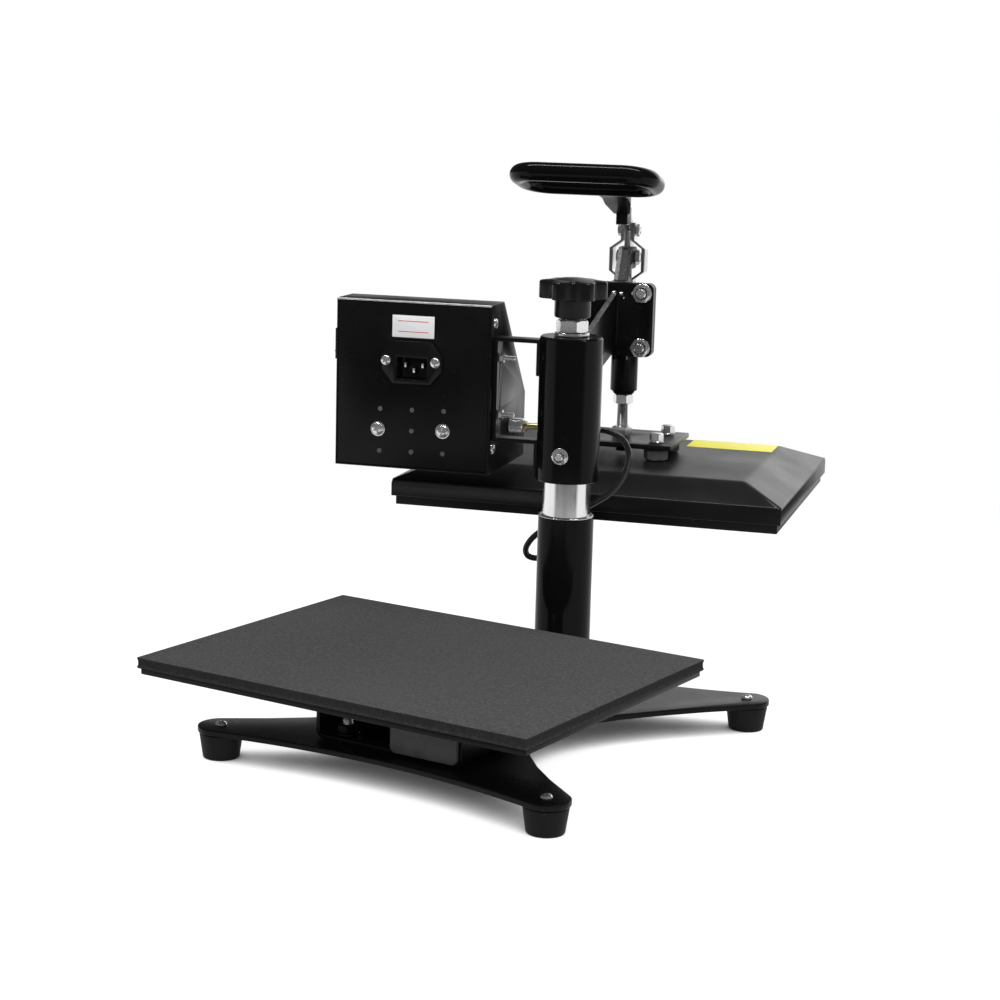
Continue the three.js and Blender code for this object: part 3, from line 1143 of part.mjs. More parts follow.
function plunger() {
  const pinZ = CRANK_Z - LINK_LENGTH;
  const r = PLUNGER_TONGUE_WIDTH / 2;
  const shape = new THREE.Shape();
  shape.moveTo(ARM_REACH - r, PLUNGER_TONGUE_BOTTOM);
  shape.lineTo(ARM_REACH + r, PLUNGER_TONGUE_BOTTOM);
  shape.lineTo(ARM_REACH + r, pinZ);
  shape.absarc(ARM_REACH, pinZ, r, 0, Math.PI);
  const tongue = sidePlate(shape, LEVER_THICKNESS);
  const rodBottom = GUIDE_BOTTOM - ROD_NUT_HEIGHT - SEAT_GAP;
  const rodHeight = PLUNGER_TONGUE_BOTTOM + CUT_OVERRUN - GUIDE_BOTTOM;
  const rod = post(PLUNGER_RADIUS, rodHeight, 0, ARM_REACH, GUIDE_BOTTOM);
  const threadBottom = PLATEN_TOP + CUT_OVERRUN;
  const thread = post(THREAD_RADIUS, rodBottom + ROD_NUT_HEIGHT + CUT_OVERRUN - threadBottom,
    0, ARM_REACH, threadBottom, SMALL_SIDES);
  return join(tongue, rod, thread);
}

function rodNut(z) {
  const nut = hexPost(ROD_NUT_AF, ROD_NUT_HEIGHT, 0, ARM_REACH, z);
  const hole = post(THREAD_RADIUS + HOLE_GAP, ROD_NUT_HEIGHT + 2 * CUT_OVERRUN, 0, ARM_REACH, z - CUT_OVERRUN,
    SMALL_SIDES);
  return cut(nut, hole);
}

function studPlaces() {
  return cornerPlaces(STUD_SPACING_X, STUD_SPACING_Y).map((place) => ({ ...place, y: ARM_REACH + place.y }));
}

function floatPlate() {
  const [t, z] = [FLOAT_PLATE_THICKNESS, FLOAT_PLATE_Z];
  const plate = block(FLOAT_PLATE_WIDTH, FLOAT_PLATE_DEPTH, t, 0, ARM_REACH, z);
  const height = t + 2 * CUT_OVERRUN;
  const rodHole = post(THREAD_RADIUS + HOLE_GAP, height, 0, ARM_REACH, z - CUT_OVERRUN, SMALL_SIDES);
  return cut(plate, rodHole, ...studHoles(FLOAT_PLATE_Z, FLOAT_PLATE_TOP));
}

// A stud stands on the heating plate, with its hexagon spacer on the cover and its nut above
function platenStud(x, y) {
  const bottom = HEATING_PLATE_TOP + SEAT_GAP;
  const nutZ = FLOAT_PLATE_TOP + SEAT_GAP;
  const spacer = hexPost(SPACER_AF, SPACER_HEIGHT, x, y, SPACER_Z);
  const nut = hexPost(STUD_NUT_AF, STUD_NUT_HEIGHT, x, y, nutZ);
  const stud = post(STUD_RADIUS, nutZ + STUD_NUT_HEIGHT + STUD_TIP - bottom, x, y, bottom, SMALL_SIDES);
  return join(spacer, nut, stud);
}

function studHoles(bottom, top) {
  const height = top - bottom + 2 * CUT_OVERRUN;
  return studPlaces().map(({ x, y }) =>
    post(STUD_RADIUS + HOLE_GAP, height, x, y, bottom - CUT_OVERRUN, SMALL_SIDES));
}

// A low box with a sloped hip round its flat top
function hippedBox(width, depth, bottom, shoulder, top, inset) {
  const rings = [[0, bottom], [0, shoulder], [inset, top]];
  const positions = [];
  for (const [gap, z] of rings) {
    const [w, d] = [width / 2 - gap, depth / 2 - gap];
    positions.push(-w, -d, z, w, -d, z, w, d, z, -w, d, z);
  }
  const triangles = [0, 2, 1, 0, 3, 2, 8, 9, 10, 8, 10, 11];
  for (const row of [0, 4]) {
    for (let i = 0; i < 4; i += 1) {
      const next = (i + 1) % 4;
      triangles.push(row + i, row + next, row + next + 4, row + i, row + next + 4, row + i + 4);
    }
  }
  const geometry = new THREE.BufferGeometry();
  geometry.setAttribute("position", new THREE.Float32BufferAttribute(positions, 3));
  geometry.setIndex(triangles);
  return geometry.translate(PLATEN_SIDE, ARM_REACH, 0);
}

function platenCover() {
  const skirtBottom = PLATEN_BOTTOM + PLATEN_LIP;
  const shoulder = skirtBottom + SKIRT_HEIGHT;
  const outside = hippedBox(PLATEN_WIDTH, PLATEN_DEPTH, skirtBottom, shoulder, PLATEN_TOP, HIP_INSET);
  const [innerWidth, innerDepth] = [PLATEN_WIDTH - 2 * COVER_WALL, PLATEN_DEPTH - 2 * COVER_WALL];
  const inside = hippedBox(innerWidth, innerDepth, skirtBottom - CUT_OVERRUN,
    shoulder - COVER_WALL / 2, PLATEN_TOP - COVER_WALL, HIP_INSET);
  return cut(outside, inside, ...studHoles(shoulder, PLATEN_TOP));
}

function platenLayer(inset, thickness, z) {
  const [width, depth] = [PLATEN_WIDTH - 2 * inset, PLATEN_DEPTH - 2 * inset];
  return block(width, depth, thickness, PLATEN_SIDE, ARM_REACH, z);
}

function insulationSheet() {
  const z = HEATING_PLATE_TOP + SEAT_GAP;
  const sheetBlock = platenLayer(INSULATION_INSET, INSULATION_THICKNESS, z);
  return cut(sheetBlock, ...studHoles(z, z + INSULATION_THICKNESS));
}

function cableGland() {
  const start = ARM_REACH - PLATEN_DEPTH / 2 - SEAT_GAP - GLAND_LENGTH;
  return pointAlongY(post(GLAND_RADIUS, GLAND_LENGTH)).translate(GLAND_SIDE, start, GLAND_HEIGHT);
}

function buildPlaten(head) {
  addPiece(head, "plunger", plunger(), ZINC);
  addPiece(head, "rod_nut_upper", rodNut(GUIDE_BOTTOM - SEAT_GAP - ROD_NUT_HEIGHT), ZINC);
  addPiece(head, "rod_nut_lower", rodNut(FLOAT_PLATE_TOP + SEAT_GAP), ZINC);
  addPiece(head, "floating_plate", floatPlate(), BLACK_PAINT);
  for (const { name, x, y } of studPlaces()) addPiece(head, `platen_stud_${name}`, platenStud(x, y), ZINC);
  addPiece(head, "platen_cover", platenCover(), BLACK_PAINT);
  const heatingPlate = platenLayer(HEATING_PLATE_INSET, HEATING_PLATE_THICKNESS, PLATEN_BOTTOM);
  addPiece(head, "heating_plate", heatingPlate, ALUMINIUM);
  addPiece(head, "insulation_sheet", insulationSheet(), PALE_INSULATION);
  addPiece(head, "cable_gland", cableGland(), BLACK_PLASTIC);
}

function heaterCable() {
  const start = -BOX_SIDE_REACH + SEAT_GAP + CONNECTOR_LENGTH + CONNECTOR_TAIL_LENGTH + SEAT_GAP;
  const glandFace = ARM_REACH - PLATEN_DEPTH / 2 - 2 * SEAT_GAP - GLAND_LENGTH;
  const route = [
    [start, CONNECTOR_REACH, CONNECTOR_Z], [start + CABLE_RADIUS, CONNECTOR_REACH, CONNECTOR_Z],
    ...CABLE_ROUTE,
    [GLAND_SIDE, glandFace - CABLE_RADIUS, GLAND_HEIGHT], [GLAND_SIDE, glandFace, GLAND_HEIGHT],
  ];
  const points = route.map(([x, y, z]) => new THREE.Vector3(x, y, z));
  const curve = new THREE.CatmullRomCurve3(points, false, "centripetal");
  const section = new THREE.Shape();
  for (let i = 0; i < CABLE_SIDES; i += 1) {
    const angle = (2 * Math.PI * i) / CABLE_SIDES;
    const [x, y] = [CABLE_RADIUS * Math.cos(angle), CABLE_RADIUS * Math.sin(angle)];
    if (i === 0) section.moveTo(x, y);
    else section.lineTo(x, y);
  }
  return new THREE.ExtrudeGeometry(section, { steps: CABLE_STEPS, extrudePath: curve, curveSegments: 1 });
}

function buildHead() {
  const head = new THREE.Group();
  addPiece(head, "upper_sleeve", upperSleeve(), BLACK_GLOSS);
  addPiece(head, "lift_nut", liftNut(), ZINC);
  addPiece(head, "lock_bolt", lockBolt(), ZINC);
  addPiece(head, "arm_gusset", armGusset(), BLACK_PAINT);
  addPiece(head, "arm_end_face", armEndFace(), BLACK_PAINT);
  addPiece(head, "clamp_body", clampBody(), BLACK_PAINT);
  for (const { name, x, z } of clampBoltPlaces()) addPiece(head, `clamp_bolt_${name}`, clampBolt(x, z), ZINC);
  addPiece(head, "lever_pivot_bolt", leverPivotBolt(), ZINC);
  buildBox(head);
  addPiece(head, "lever", lever(), ZINC);
  addPiece(head, "handle_loop", handleLoop(), BLACK_GLOSS);
  addPiece(head, "link_pin", linkPin(), ZINC);
  addPiece(head, "link_left", link(-1), ZINC);
  addPiece(head, "link_right", link(1), ZINC);
  buildPlaten(head);
  addPiece(head, "heater_cable", heaterCable(), BLACK_RUBBER);
  return head;
}

function thrustDisc() {
  return post(THRUST_DISC_RADIUS, THRUST_DISC_THICKNESS, 0, 0, THRUST_DISC_Z);
}

function buildSwing() {
  const swing = new THREE.Group();
  addPiece(swing, "thrust_disc", thrustDisc(), BRASS);
  swing.add(buildKnob());
  swing.add(buildHead());
  swing.position.set(COLUMN_X, COLUMN_Y, 0);
  swing.rotation.z = THREE.MathUtils.degToRad(REST_SWING_DEGREES);
  return swing;
}

const press = new THREE.Group();
press.add(buildBase());
press.add(buildSwing());
press.updateMatrixWorld(true);

const bounds = new THREE.Box3().setFromObject(press, true);
const centre = bounds.getCenter(new THREE.Vector3());
press.position.set(-centre.x, -centre.y, -bounds.min.z);

export default press;
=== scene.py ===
"""Looks of the swing-away heat press, built round its fixed frame. Metres, +Z up."""
import json
import math

import bmesh
import bpy
from mathutils import Matrix, Vector


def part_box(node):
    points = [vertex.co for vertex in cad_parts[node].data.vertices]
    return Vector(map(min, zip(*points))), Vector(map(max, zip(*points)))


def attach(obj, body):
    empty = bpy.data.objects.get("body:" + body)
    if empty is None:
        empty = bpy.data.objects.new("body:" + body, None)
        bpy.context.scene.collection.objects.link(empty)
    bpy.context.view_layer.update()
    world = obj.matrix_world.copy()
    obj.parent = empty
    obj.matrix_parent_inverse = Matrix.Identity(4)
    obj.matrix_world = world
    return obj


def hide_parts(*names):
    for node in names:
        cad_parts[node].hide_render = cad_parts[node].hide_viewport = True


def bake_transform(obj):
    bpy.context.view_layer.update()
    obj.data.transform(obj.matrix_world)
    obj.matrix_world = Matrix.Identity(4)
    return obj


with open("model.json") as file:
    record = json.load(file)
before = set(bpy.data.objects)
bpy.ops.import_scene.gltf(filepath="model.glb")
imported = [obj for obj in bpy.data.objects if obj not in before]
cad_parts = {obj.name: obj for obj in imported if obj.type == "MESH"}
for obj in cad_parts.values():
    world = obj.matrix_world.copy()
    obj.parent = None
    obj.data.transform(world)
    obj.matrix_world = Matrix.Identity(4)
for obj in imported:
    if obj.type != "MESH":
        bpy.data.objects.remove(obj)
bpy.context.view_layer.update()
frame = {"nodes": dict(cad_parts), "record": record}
SCENE = bpy.context.scene
RECORD = frame["record"]
BODY_OF = {node: body for body, nodes in RECORD["behaviour"]["bodies"].items() for node in nodes}

# Places taken from the frame: the pad's centre on the floor, and the head's own axes
SWING = math.radians(16.5)
QUARTER = math.pi / 2
X, Y, Z = range(3)


def at(*place):
    return Matrix.Translation(place)


def box_centre(node):
    low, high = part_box(node)
    return (low + high) / 2


PAD_CENTRE = box_centre("lower_pad")
COLUMN_CENTRE = box_centre("upper_sleeve")
ORIGIN = at(PAD_CENTRE.x, PAD_CENTRE.y, 0)
COLUMN = at(COLUMN_CENTRE.x, COLUMN_CENTRE.y, 0)
HEAD = COLUMN @ Matrix.Rotation(SWING, 4, "Z")
HEAD_BACK = HEAD.inverted()
ALONG = (Matrix.Rotation(QUARTER, 4, "Y"), Matrix.Rotation(-QUARTER, 4, "X"), Matrix())
OUT_OF_BACK = Matrix.Rotation(QUARTER, 4, "X")


def head_box(node):
    """A node's lowest and highest corners along the head's own axes, of which Y points along the arm."""
    points = [HEAD_BACK @ v.co for v in frame["nodes"][node].data.vertices]
    low = Vector([min(p[i] for p in points) for i in range(3)])
    high = Vector([max(p[i] for p in points) for i in range(3)])
    return low, high


def head_centre(node):
    low, high = head_box(node)
    return (low + high) / 2


def head_place(node, axis, level=None):
    """A node's low end, or the given level, on the node's own axis, with z turned along that axis."""
    place = head_centre(node)
    place[axis] = head_box(node)[0][axis] if level is None else level
    return HEAD @ at(*place) @ ALONG[axis]


def new_object(name, data):
    obj = bpy.data.objects.new(name, data)
    SCENE.collection.objects.link(obj)
    return obj


def mesh_object(name, bm):
    """An object with a bmesh's shape. The bmesh is used up."""
    mesh = bpy.data.meshes.new(name)
    bm.to_mesh(mesh)
    bm.free()
    return new_object(name, mesh)


# Camera
CAMERA_OFFSET = Vector((0.8495, -1.2596, 0.4885))
CAMERA_YAW = math.radians(32.07)
CAMERA_PITCH = math.radians(10.81)
CAMERA_ROLL = math.radians(1.54)
CAMERA_LENS = 79.607
CAMERA_SENSOR = 36


def make_camera():
    camera = bpy.data.cameras.new("camera")
    camera.lens = CAMERA_LENS
    camera.sensor_width = CAMERA_SENSOR
    obj = new_object("camera", camera)
    turn = (Matrix.Rotation(CAMERA_YAW, 4, "Z") @ Matrix.Rotation(QUARTER - CAMERA_PITCH, 4, "X")
            @ Matrix.Rotation(CAMERA_ROLL, 4, "Z"))
    obj.matrix_world = ORIGIN @ at(*CAMERA_OFFSET) @ turn
    SCENE.camera = obj


make_camera()

# Mesh helpers
AIR = 0.0003
ON_AXIS = 1e-6
SMOOTH_ANGLE = math.radians(32)
SOFT_ANGLE = 30


def turned_out(bm):
    """Turns the faces of every closed shell outwards."""
    bmesh.ops.recalc_face_normals(bm, faces=bm.faces)
    seen = set()
    for first in list(bm.faces):
        if first in seen:
            continue
        seen.add(first)
        shell, waiting = [], [first]
        while waiting:
            face = waiting.pop()
            shell.append(face)
            for other in (f for e in face.edges for f in e.link_faces if f not in seen):
                seen.add(other)
                waiting.append(other)
        corner = first.verts[0].co.copy()
        volume = sum((f.calc_center_median() - corner).dot(f.normal) * f.calc_area() for f in shell)
        if volume < 0 and all(len(e.link_faces) == 2 for f in shell for e in f.edges):
            bmesh.ops.reverse_faces(bm, faces=shell)


def add_piece(name, bm, surface, body, place=None, smooth=SMOOTH_ANGLE, replaced=()):
    """Turns a bmesh into a piece of the object that rides on a body."""
    if place is not None:
        bm.transform(place)
    turned_out(bm)
    obj = mesh_object(name, bm)
    mesh = obj.data
    mesh.materials.append(surface)
    mesh.polygons.foreach_set("use_smooth", [True] * len(mesh.polygons))
    mesh.set_sharp_from_angle(angle=smooth)
    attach(obj, body)
    if replaced:
        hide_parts(*replaced)
    return obj


def stand_in(node, bm, surface, place=None, smooth=SMOOTH_ANGLE):
    """A finished piece that takes the place of one node."""
    return add_piece(node + "_finished", bm, surface, BODY_OF[node], place, smooth, (node,))


def merge(*meshes):
    """One bmesh with the shells of several."""
    whole = meshes[0]
    for other in meshes[1:]:
        spare = bpy.data.meshes.new("spare")
        other.to_mesh(spare)
        other.free()
        whole.from_mesh(spare)
        bpy.data.meshes.remove(spare)
    return whole


def moved(bm, matrix):
    bm.transform(matrix)
    return bm


def lifted(bm, z):
    return moved(bm, at(0, 0, z))


def turns(steps):
    """The angles that share a whole turn evenly."""
    return [2 * math.pi * i / steps for i in range(steps)]


def on_circle(radius, angle, z):
    return radius * math.cos(angle), radius * math.sin(angle), z


def bridge(bm, rings):
    """Joins each ring of vertices to the next with faces. A ring may be a single point."""
    for lower, upper in zip(rings, rings[1:]):
        steps = max(len(lower), len(upper))
        for i in range(steps):
            j = (i + 1) % steps
            below = [lower[i % len(lower)], lower[j % len(lower)]]
            above = [upper[j % len(upper)], upper[i % len(upper)]]
            corners = list(dict.fromkeys(below + above))
            if len(corners) > 2:
                bm.faces.new(corners)


def lathe(profile, steps=64, closed=False):
    """Turns an outline of radius and height about Z."""
    bm = bmesh.new()
    rings = []
    for radius, z in profile:
        angles = turns(steps) if radius > ON_AXIS else [0]
        rings.append([bm.verts.new(on_circle(radius, a, z)) for a in angles])
    bridge(bm, rings + rings[:1] if closed else rings)
    return bm


def filleted(points, radius, steps=4, closed=True):
    """The same outline with each of its corners rounded off."""
    result = []
    count = len(points)
    for i, point in enumerate(points):
        corner = Vector(point)
        if not closed and i in (0, count - 1):
            result.append(tuple(corner))
            continue
        before, after = Vector(points[i - 1]), Vector(points[(i + 1) % count])
        back, on = before - corner, after - corner
        turn = back.angle(on, math.pi)
        if turn > math.radians(178):
            result.append(tuple(corner))
            continue
        reach = min(radius / math.tan(turn / 2), back.length / 2.05, on.length / 2.05)
        start = corner + back.normalized() * reach
        end = corner + on.normalized() * reach
        for k in range(steps + 1):
            t = k / steps
            result.append(tuple(start * (1 - t) ** 2 + corner * 2 * t * (1 - t) + end * t * t))
    return result


def prism(outline, height, edge=0.0, segments=2):
    """A flat outline drawn up along Z, with its rims softened by edge."""
    bm = bmesh.new()
    lower = [bm.verts.new((x, y, 0)) for x, y in outline]
    upper = [bm.verts.new((x, y, height)) for x, y in outline]
    bm.faces.new(lower[::-1])
    bm.faces.new(upper)
    bridge(bm, [lower, upper])
    bmesh.ops.recalc_face_normals(bm, faces=bm.faces)
    if edge > 0:
        soften(bm, edge, segments)
    return bm


def soften(bm, edge, segments=2, low=SOFT_ANGLE, high=180, shortest=0.0):
    """Rounds the edges longer than shortest whose faces meet at between low and high degrees."""
    picked = []
    for e in bm.edges:
        if len(e.link_faces) == 2 and e.calc_length() > shortest:
            turn = math.degrees(e.calc_face_angle(0.0))
            if low < turn < high:
                picked.append(e)
    bmesh.ops.bevel(bm, geom=picked, offset=edge, segments=segments, profile=0.5, affect="EDGES",
                    loop_slide=True)


def rectangle(width, depth, corner=0.0):
    """A rectangle's outline round the origin, with its corners rounded."""
    w, d = width / 2, depth / 2
    outline = [(-w, -d), (w, -d), (w, d), (-w, d)]
    return filleted(outline, corner, 6) if corner else outline


def slab(width, depth, height, corner=0.0, edge=0.0, centre=(0, 0, 0)):
    """A block with rounded corners and soft rims, its bottom face centred on centre."""
    return moved(prism(rectangle(width, depth, corner), height, edge), at(*centre))


def tube(points, radius, sides=16, closed=False, radii=None):
    """A round bar that follows points."""
    bm = bmesh.new()
    points = [Vector(p) for p in points]
    count = len(points)
    rings = []
    side = None
    for i, point in enumerate(points):
        before = points[i - 1] if closed or i > 0 else point
        after = points[(i + 1) % count] if closed or i < count - 1 else point
        along = (after - before).normalized()
        if side is None:
            side = along.orthogonal().normalized()
        side = (side - along * side.dot(along)).normalized()
        across = along.cross(side)
        r = radii[i] if radii else radius
        ways = [side * math.cos(a) + across * math.sin(a) for a in turns(sides)]
        rings.append([bm.verts.new(point + r * way) for way in ways])
    if closed:
        first, last = rings[0], rings[-1]
        shift = min(range(sides), key=lambda k: (first[k].co - last[0].co).length)
        rings.append(first[shift:] + first[:shift])
    else:
        bm.faces.new(rings[0][::-1])
        bm.faces.new(rings[-1])
    bridge(bm, rings)
    return bm


def carved(target, cutter):
    """The target bmesh with the cutter's shape taken out."""
    objects = []
    for name, bm in (("carve_target", target), ("carve_tool", cutter)):
        bmesh.ops.recalc_face_normals(bm, faces=bm.faces)
        objects.append(mesh_object(name, bm))
    modifier = objects[0].modifiers.new("carve", "BOOLEAN")
    modifier.object = objects[1]
    modifier.operation = "DIFFERENCE"
    modifier.solver = "EXACT"
    graph = bpy.context.evaluated_depsgraph_get()
    result = bmesh.new()
    result.from_mesh(objects[0].evaluated_get(graph).to_mesh())
    objects[0].evaluated_get(graph).to_mesh_clear()
    for obj in objects:
        mesh = obj.data
        bpy.data.objects.remove(obj)
        bpy.data.meshes.remove(mesh)
    return result


def rounded_copy(node, edge, segments=2):
    """A node's own shape with every edge softened, for metal and plastic."""
    bm = bmesh.new()
    bm.from_mesh(frame["nodes"][node].data)
    bmesh.ops.remove_doubles(bm, verts=bm.verts, dist=1e-5)
    bmesh.ops.dissolve_limit(bm, angle_limit=math.radians(1), verts=bm.verts, edges=bm.edges)
    if edge > 0:
        soften(bm, edge, segments)
    return bm


def dress(node, surface, edge, segments=2):
    return stand_in(node, rounded_copy(node, edge, segments), surface)


def second_finish(piece, surface, chosen, slot=1):
    """Gives another finish to the faces that chosen picks by place and direction on the head's axes."""
    piece.data.materials.append(surface)
    turn = HEAD_BACK.to_3x3()
    for face in piece.data.polygons:
        if chosen(HEAD_BACK @ face.center, turn @ face.normal):
            face.material_index = slot


# Material helpers
def feed(tree, socket, value):
    """Gives a socket another node's output, a number, a vector or a colour."""
    if isinstance(value, bpy.types.NodeSocket):
        tree.links.new(value, socket)
    elif socket.type == "RGBA":
        socket.default_value = (*value, 1)
    else:
        socket.default_value = value


def add_node(tree, kind, inputs=None, **settings):
    """A shader node with its settings made and its inputs fed."""
    node = tree.nodes.new("ShaderNode" + kind)
    for name, value in settings.items():
        setattr(node, name, value)
    for name, value in (inputs or {}).items():
        feed(tree, node.inputs[name], value)
    return node


def node_tree(name):
    surface = bpy.data.materials.new(name)
    surface.use_nodes = True
    tree = surface.node_tree
    where = add_node(tree, "TexCoord").outputs["Object"]
    return surface, tree, tree.nodes["Principled BSDF"], where


def stretched(tree, where, scale):
    return add_node(tree, "Mapping", {"Scale": scale, "Vector": where}).outputs["Vector"]


def clouds(tree, where, scale, detail=4.0, rough=0.55):
    inputs = {"Scale": scale, "Detail": detail, "Roughness": rough, "Vector": where}
    return add_node(tree, "TexNoise", inputs).outputs["Fac"]


def spread(tree, value, low, high, start=0.3, end=0.7, kind="LINEAR"):
    """Maps the range from start to end, a texture's middle range if none is given, to low..high."""
    inputs = {"From Min": start, "From Max": end, "To Min": low, "To Max": high, "Value": value}
    return add_node(tree, "MapRange", inputs, interpolation_type=kind).outputs["Result"]


def ramp(tree, value, start, end, low=0.0, high=1.0):
    return spread(tree, value, low, high, start, end, "SMOOTHSTEP")


def between(tree, factor, first, second):
    """Blends two colours, either of which may be a socket."""
    return add_node(tree, "Mix", data_type="RGBA", inputs={0: factor, 6: first, 7: second}).outputs[2]


def plus(tree, first, second, weight):
    """The first value and the second one's share."""
    return add_node(tree, "Math", {0: second, 1: weight, 2: first}, operation="MULTIPLY_ADD").outputs[0]


def combined(tree, kind, first, second):
    return add_node(tree, "Math", {0: first, 1: second}, operation=kind).outputs[0]


def toward(tree, vector, direction):
    """How far a vector points toward a direction."""
    return add_node(tree, "VectorMath", {0: vector, 1: direction}, operation="DOT_PRODUCT").outputs["Value"]


def bump(tree, shader, height, distance):
    node = add_node(tree, "Bump", {"Distance": distance, "Strength": 1.0, "Height": height})
    tree.links.new(node.outputs["Normal"], shader.inputs["Normal"])


def surface_of(name, dark, light, rough, grain, depth, metallic=0.0, stretch=(1, 1, 1), patches=18.0,
               specular=0.5, specks=None):
    """A finish with slow colour patches, uneven roughness and a fine grain."""
    surface, tree, shader, where = node_tree(name)
    slow = clouds(tree, where, patches, 3.0)
    fine = clouds(tree, stretched(tree, where, stretch), grain, 5.0, 0.6)
    color = between(tree, spread(tree, plus(tree, slow, fine, 0.35), 0.0, 1.0, 0.45, 0.9), dark, light)
    if specks:
        speck_color, scale, start = specks
        dots = clouds(tree, where, scale, 2.0)
        color = between(tree, spread(tree, dots, 0.0, 1.0, start, start + 0.05), color, speck_color)
    uneven = spread(tree, plus(tree, slow, fine, 0.5), *rough, 0.5, 1.0)
    for socket, value in (("Base Color", color), ("Roughness", uneven), ("Metallic", metallic),
                          ("Specular IOR Level", specular)):
        feed(tree, shader.inputs[socket], value)
    bump(tree, shader, fine, depth)
    return surface


def sponge_surface():
    """Silicone sponge: matte, with fine closed pores and a few paler scuffs; its sides are darkened as
    painted shade.
    """
    surface, tree, shader, where = node_tree("silicone_sponge")
    pores = add_node(tree, "TexVoronoi", {"Scale": 620, "Vector": where}).outputs["Distance"]
    grain = clouds(tree, where, 1500, 4.0, 0.7)
    patches = clouds(tree, where, 9, 3.0)
    scuffs = clouds(tree, stretched(tree, where, (1, 3, 1)), 60, 6.0, 0.7)
    speckle = clouds(tree, where, 430, 3.0, 0.65)
    facing = toward(tree, add_node(tree, "NewGeometry").outputs["True Normal"], (0, 0, 1))
    color = between(tree, spread(tree, patches, 0, 1), (0.037, 0.036, 0.0365), (0.047, 0.0455, 0.046))
    for share, tint in (
        (spread(tree, speckle, 0, 1, 0.42, 0.62), (0.070, 0.068, 0.069)),
        (spread(tree, grain, 0, 0.5, 0.35, 0.75), (0.066, 0.064, 0.065)),
        (spread(tree, scuffs, 0, 0.35, 0.66, 0.76), (0.125, 0.122, 0.12)),
        # Faces that turn away from up are darkened towards near-black: painted shade on the sponge's sides.
        (ramp(tree, facing, 0.7, 0.3, 0.0, 0.62), (0.006, 0.006, 0.006)),
    ):
        color = between(tree, share, color, tint)
    feed(tree, shader.inputs["Base Color"], color)
    feed(tree, shader.inputs["Roughness"], spread(tree, grain, 0.82, 0.97))
    shader.inputs["Specular IOR Level"].default_value = 0.22
    bump(tree, shader, plus(tree, grain, pores, 0.8), 0.00022)
    return surface


def steel_surface(name, dark, light, rough, stretch, depth=0.00002):
    """Bright metal with a drawn grain along one direction."""
    surface, tree, shader, where = node_tree(name)
    drawn = stretched(tree, where, stretch)
    lines = clouds(tree, drawn, 700, 3.0, 0.7)
    bands = clouds(tree, drawn, 90, 2.0)
    stains = clouds(tree, where, 34, 4.0)
    color = between(tree, spread(tree, plus(tree, bands, lines, 0.4), 0, 1, 0.5, 0.9), dark, light)
    color = between(tree, spread(tree, stains, 0, 0.4, 0.6, 0.8), color, tuple(c * 0.55 for c in dark))
    feed(tree, shader.inputs["Base Color"], color)
    feed(tree, shader.inputs["Roughness"], spread(tree, plus(tree, lines, stains, 0.5), *rough, 0.5, 1.0))
    shader.inputs["Metallic"].default_value = 1.0
    bump(tree, shader, lines, depth)
    return surface


# Materials
PAINT = surface_of("black_paint", (0.0034, 0.0034, 0.0038), (0.0060, 0.0060, 0.0065), (0.24, 0.36), 1300,
                   0.00003, specular=0.13, specks=((0.03, 0.03, 0.03), 420, 0.72))
GLOSS = surface_of("gloss_black_paint", (0.0026, 0.0026, 0.0030), (0.0046, 0.0046, 0.0050), (0.10, 0.17), 500,
                   0.000005, specular=0.09, specks=((0.03, 0.03, 0.03), 520, 0.74))
TEXTURED = surface_of("textured_black", (0.0036, 0.0036, 0.0040), (0.0070, 0.0070, 0.0075), (0.30, 0.42),
                      1700, 0.00005, specular=0.26, specks=((0.05, 0.05, 0.05), 460, 0.72))
BRIGHT = steel_surface("bright_steel", (0.68, 0.68, 0.69), (0.88, 0.88, 0.89), (0.14, 0.26), (1, 1, 0.05),
                       0.000008)
STRIP_STEEL = steel_surface("strip_steel", (0.42, 0.42, 0.43), (0.66, 0.66, 0.67), (0.22, 0.40),
                            (0.2, 0.2, 0.06))
ZINC = surface_of("zinc", (0.68, 0.69, 0.70), (0.86, 0.86, 0.86), (0.16, 0.28), 900, 0.000004, metallic=0.88)
BRASS = surface_of("brass", (0.48, 0.41, 0.20), (0.68, 0.60, 0.36), (0.22, 0.38), 800, 0.00002, metallic=1.0)
SPONGE = sponge_surface()
FOOT_RUBBER = surface_of("foot_rubber", (0.0030, 0.0030, 0.0032), (0.0062, 0.0062, 0.0064), (0.5, 0.68), 900,
                         0.00006, specular=0.2, specks=((0.03, 0.03, 0.03), 380, 0.70))
CABLE_SKIN = surface_of("cable_rubber", (0.008, 0.008, 0.009), (0.014, 0.014, 0.015), (0.22, 0.34), 900,
                        0.00002)
BLACK_PLASTIC = surface_of("black_plastic", (0.0040, 0.0040, 0.0045), (0.0070, 0.0070, 0.0075), (0.20, 0.32),
                           1500, 0.00003, specular=0.2)
WHITE_PLASTIC = surface_of("white_plastic", (0.60, 0.60, 0.58), (0.70, 0.70, 0.68), (0.35, 0.5), 900,
                           0.00002)
RED_PLASTIC = surface_of("red_plastic", (0.50, 0.008, 0.012), (0.62, 0.016, 0.018), (0.14, 0.24), 600,
                         0.00001)
BOARD = surface_of("circuit_board", (0.008, 0.085, 0.032), (0.014, 0.125, 0.05), (0.3, 0.45), 1200, 0.00004)
WINDOW = surface_of("display_window", (0.012, 0.002, 0.003), (0.022, 0.004, 0.005), (0.05, 0.1), 300,
                    0.000002)
INSULATION = surface_of("insulation", (0.50, 0.44, 0.33), (0.68, 0.62, 0.50), (0.85, 0.97), 1400, 0.0003,
                        stretch=(1, 0.3, 1))
LABEL_WHITE = surface_of("label_white", (0.86, 0.86, 0.88), (0.92, 0.92, 0.93), (0.42, 0.55), 900, 0.00001)
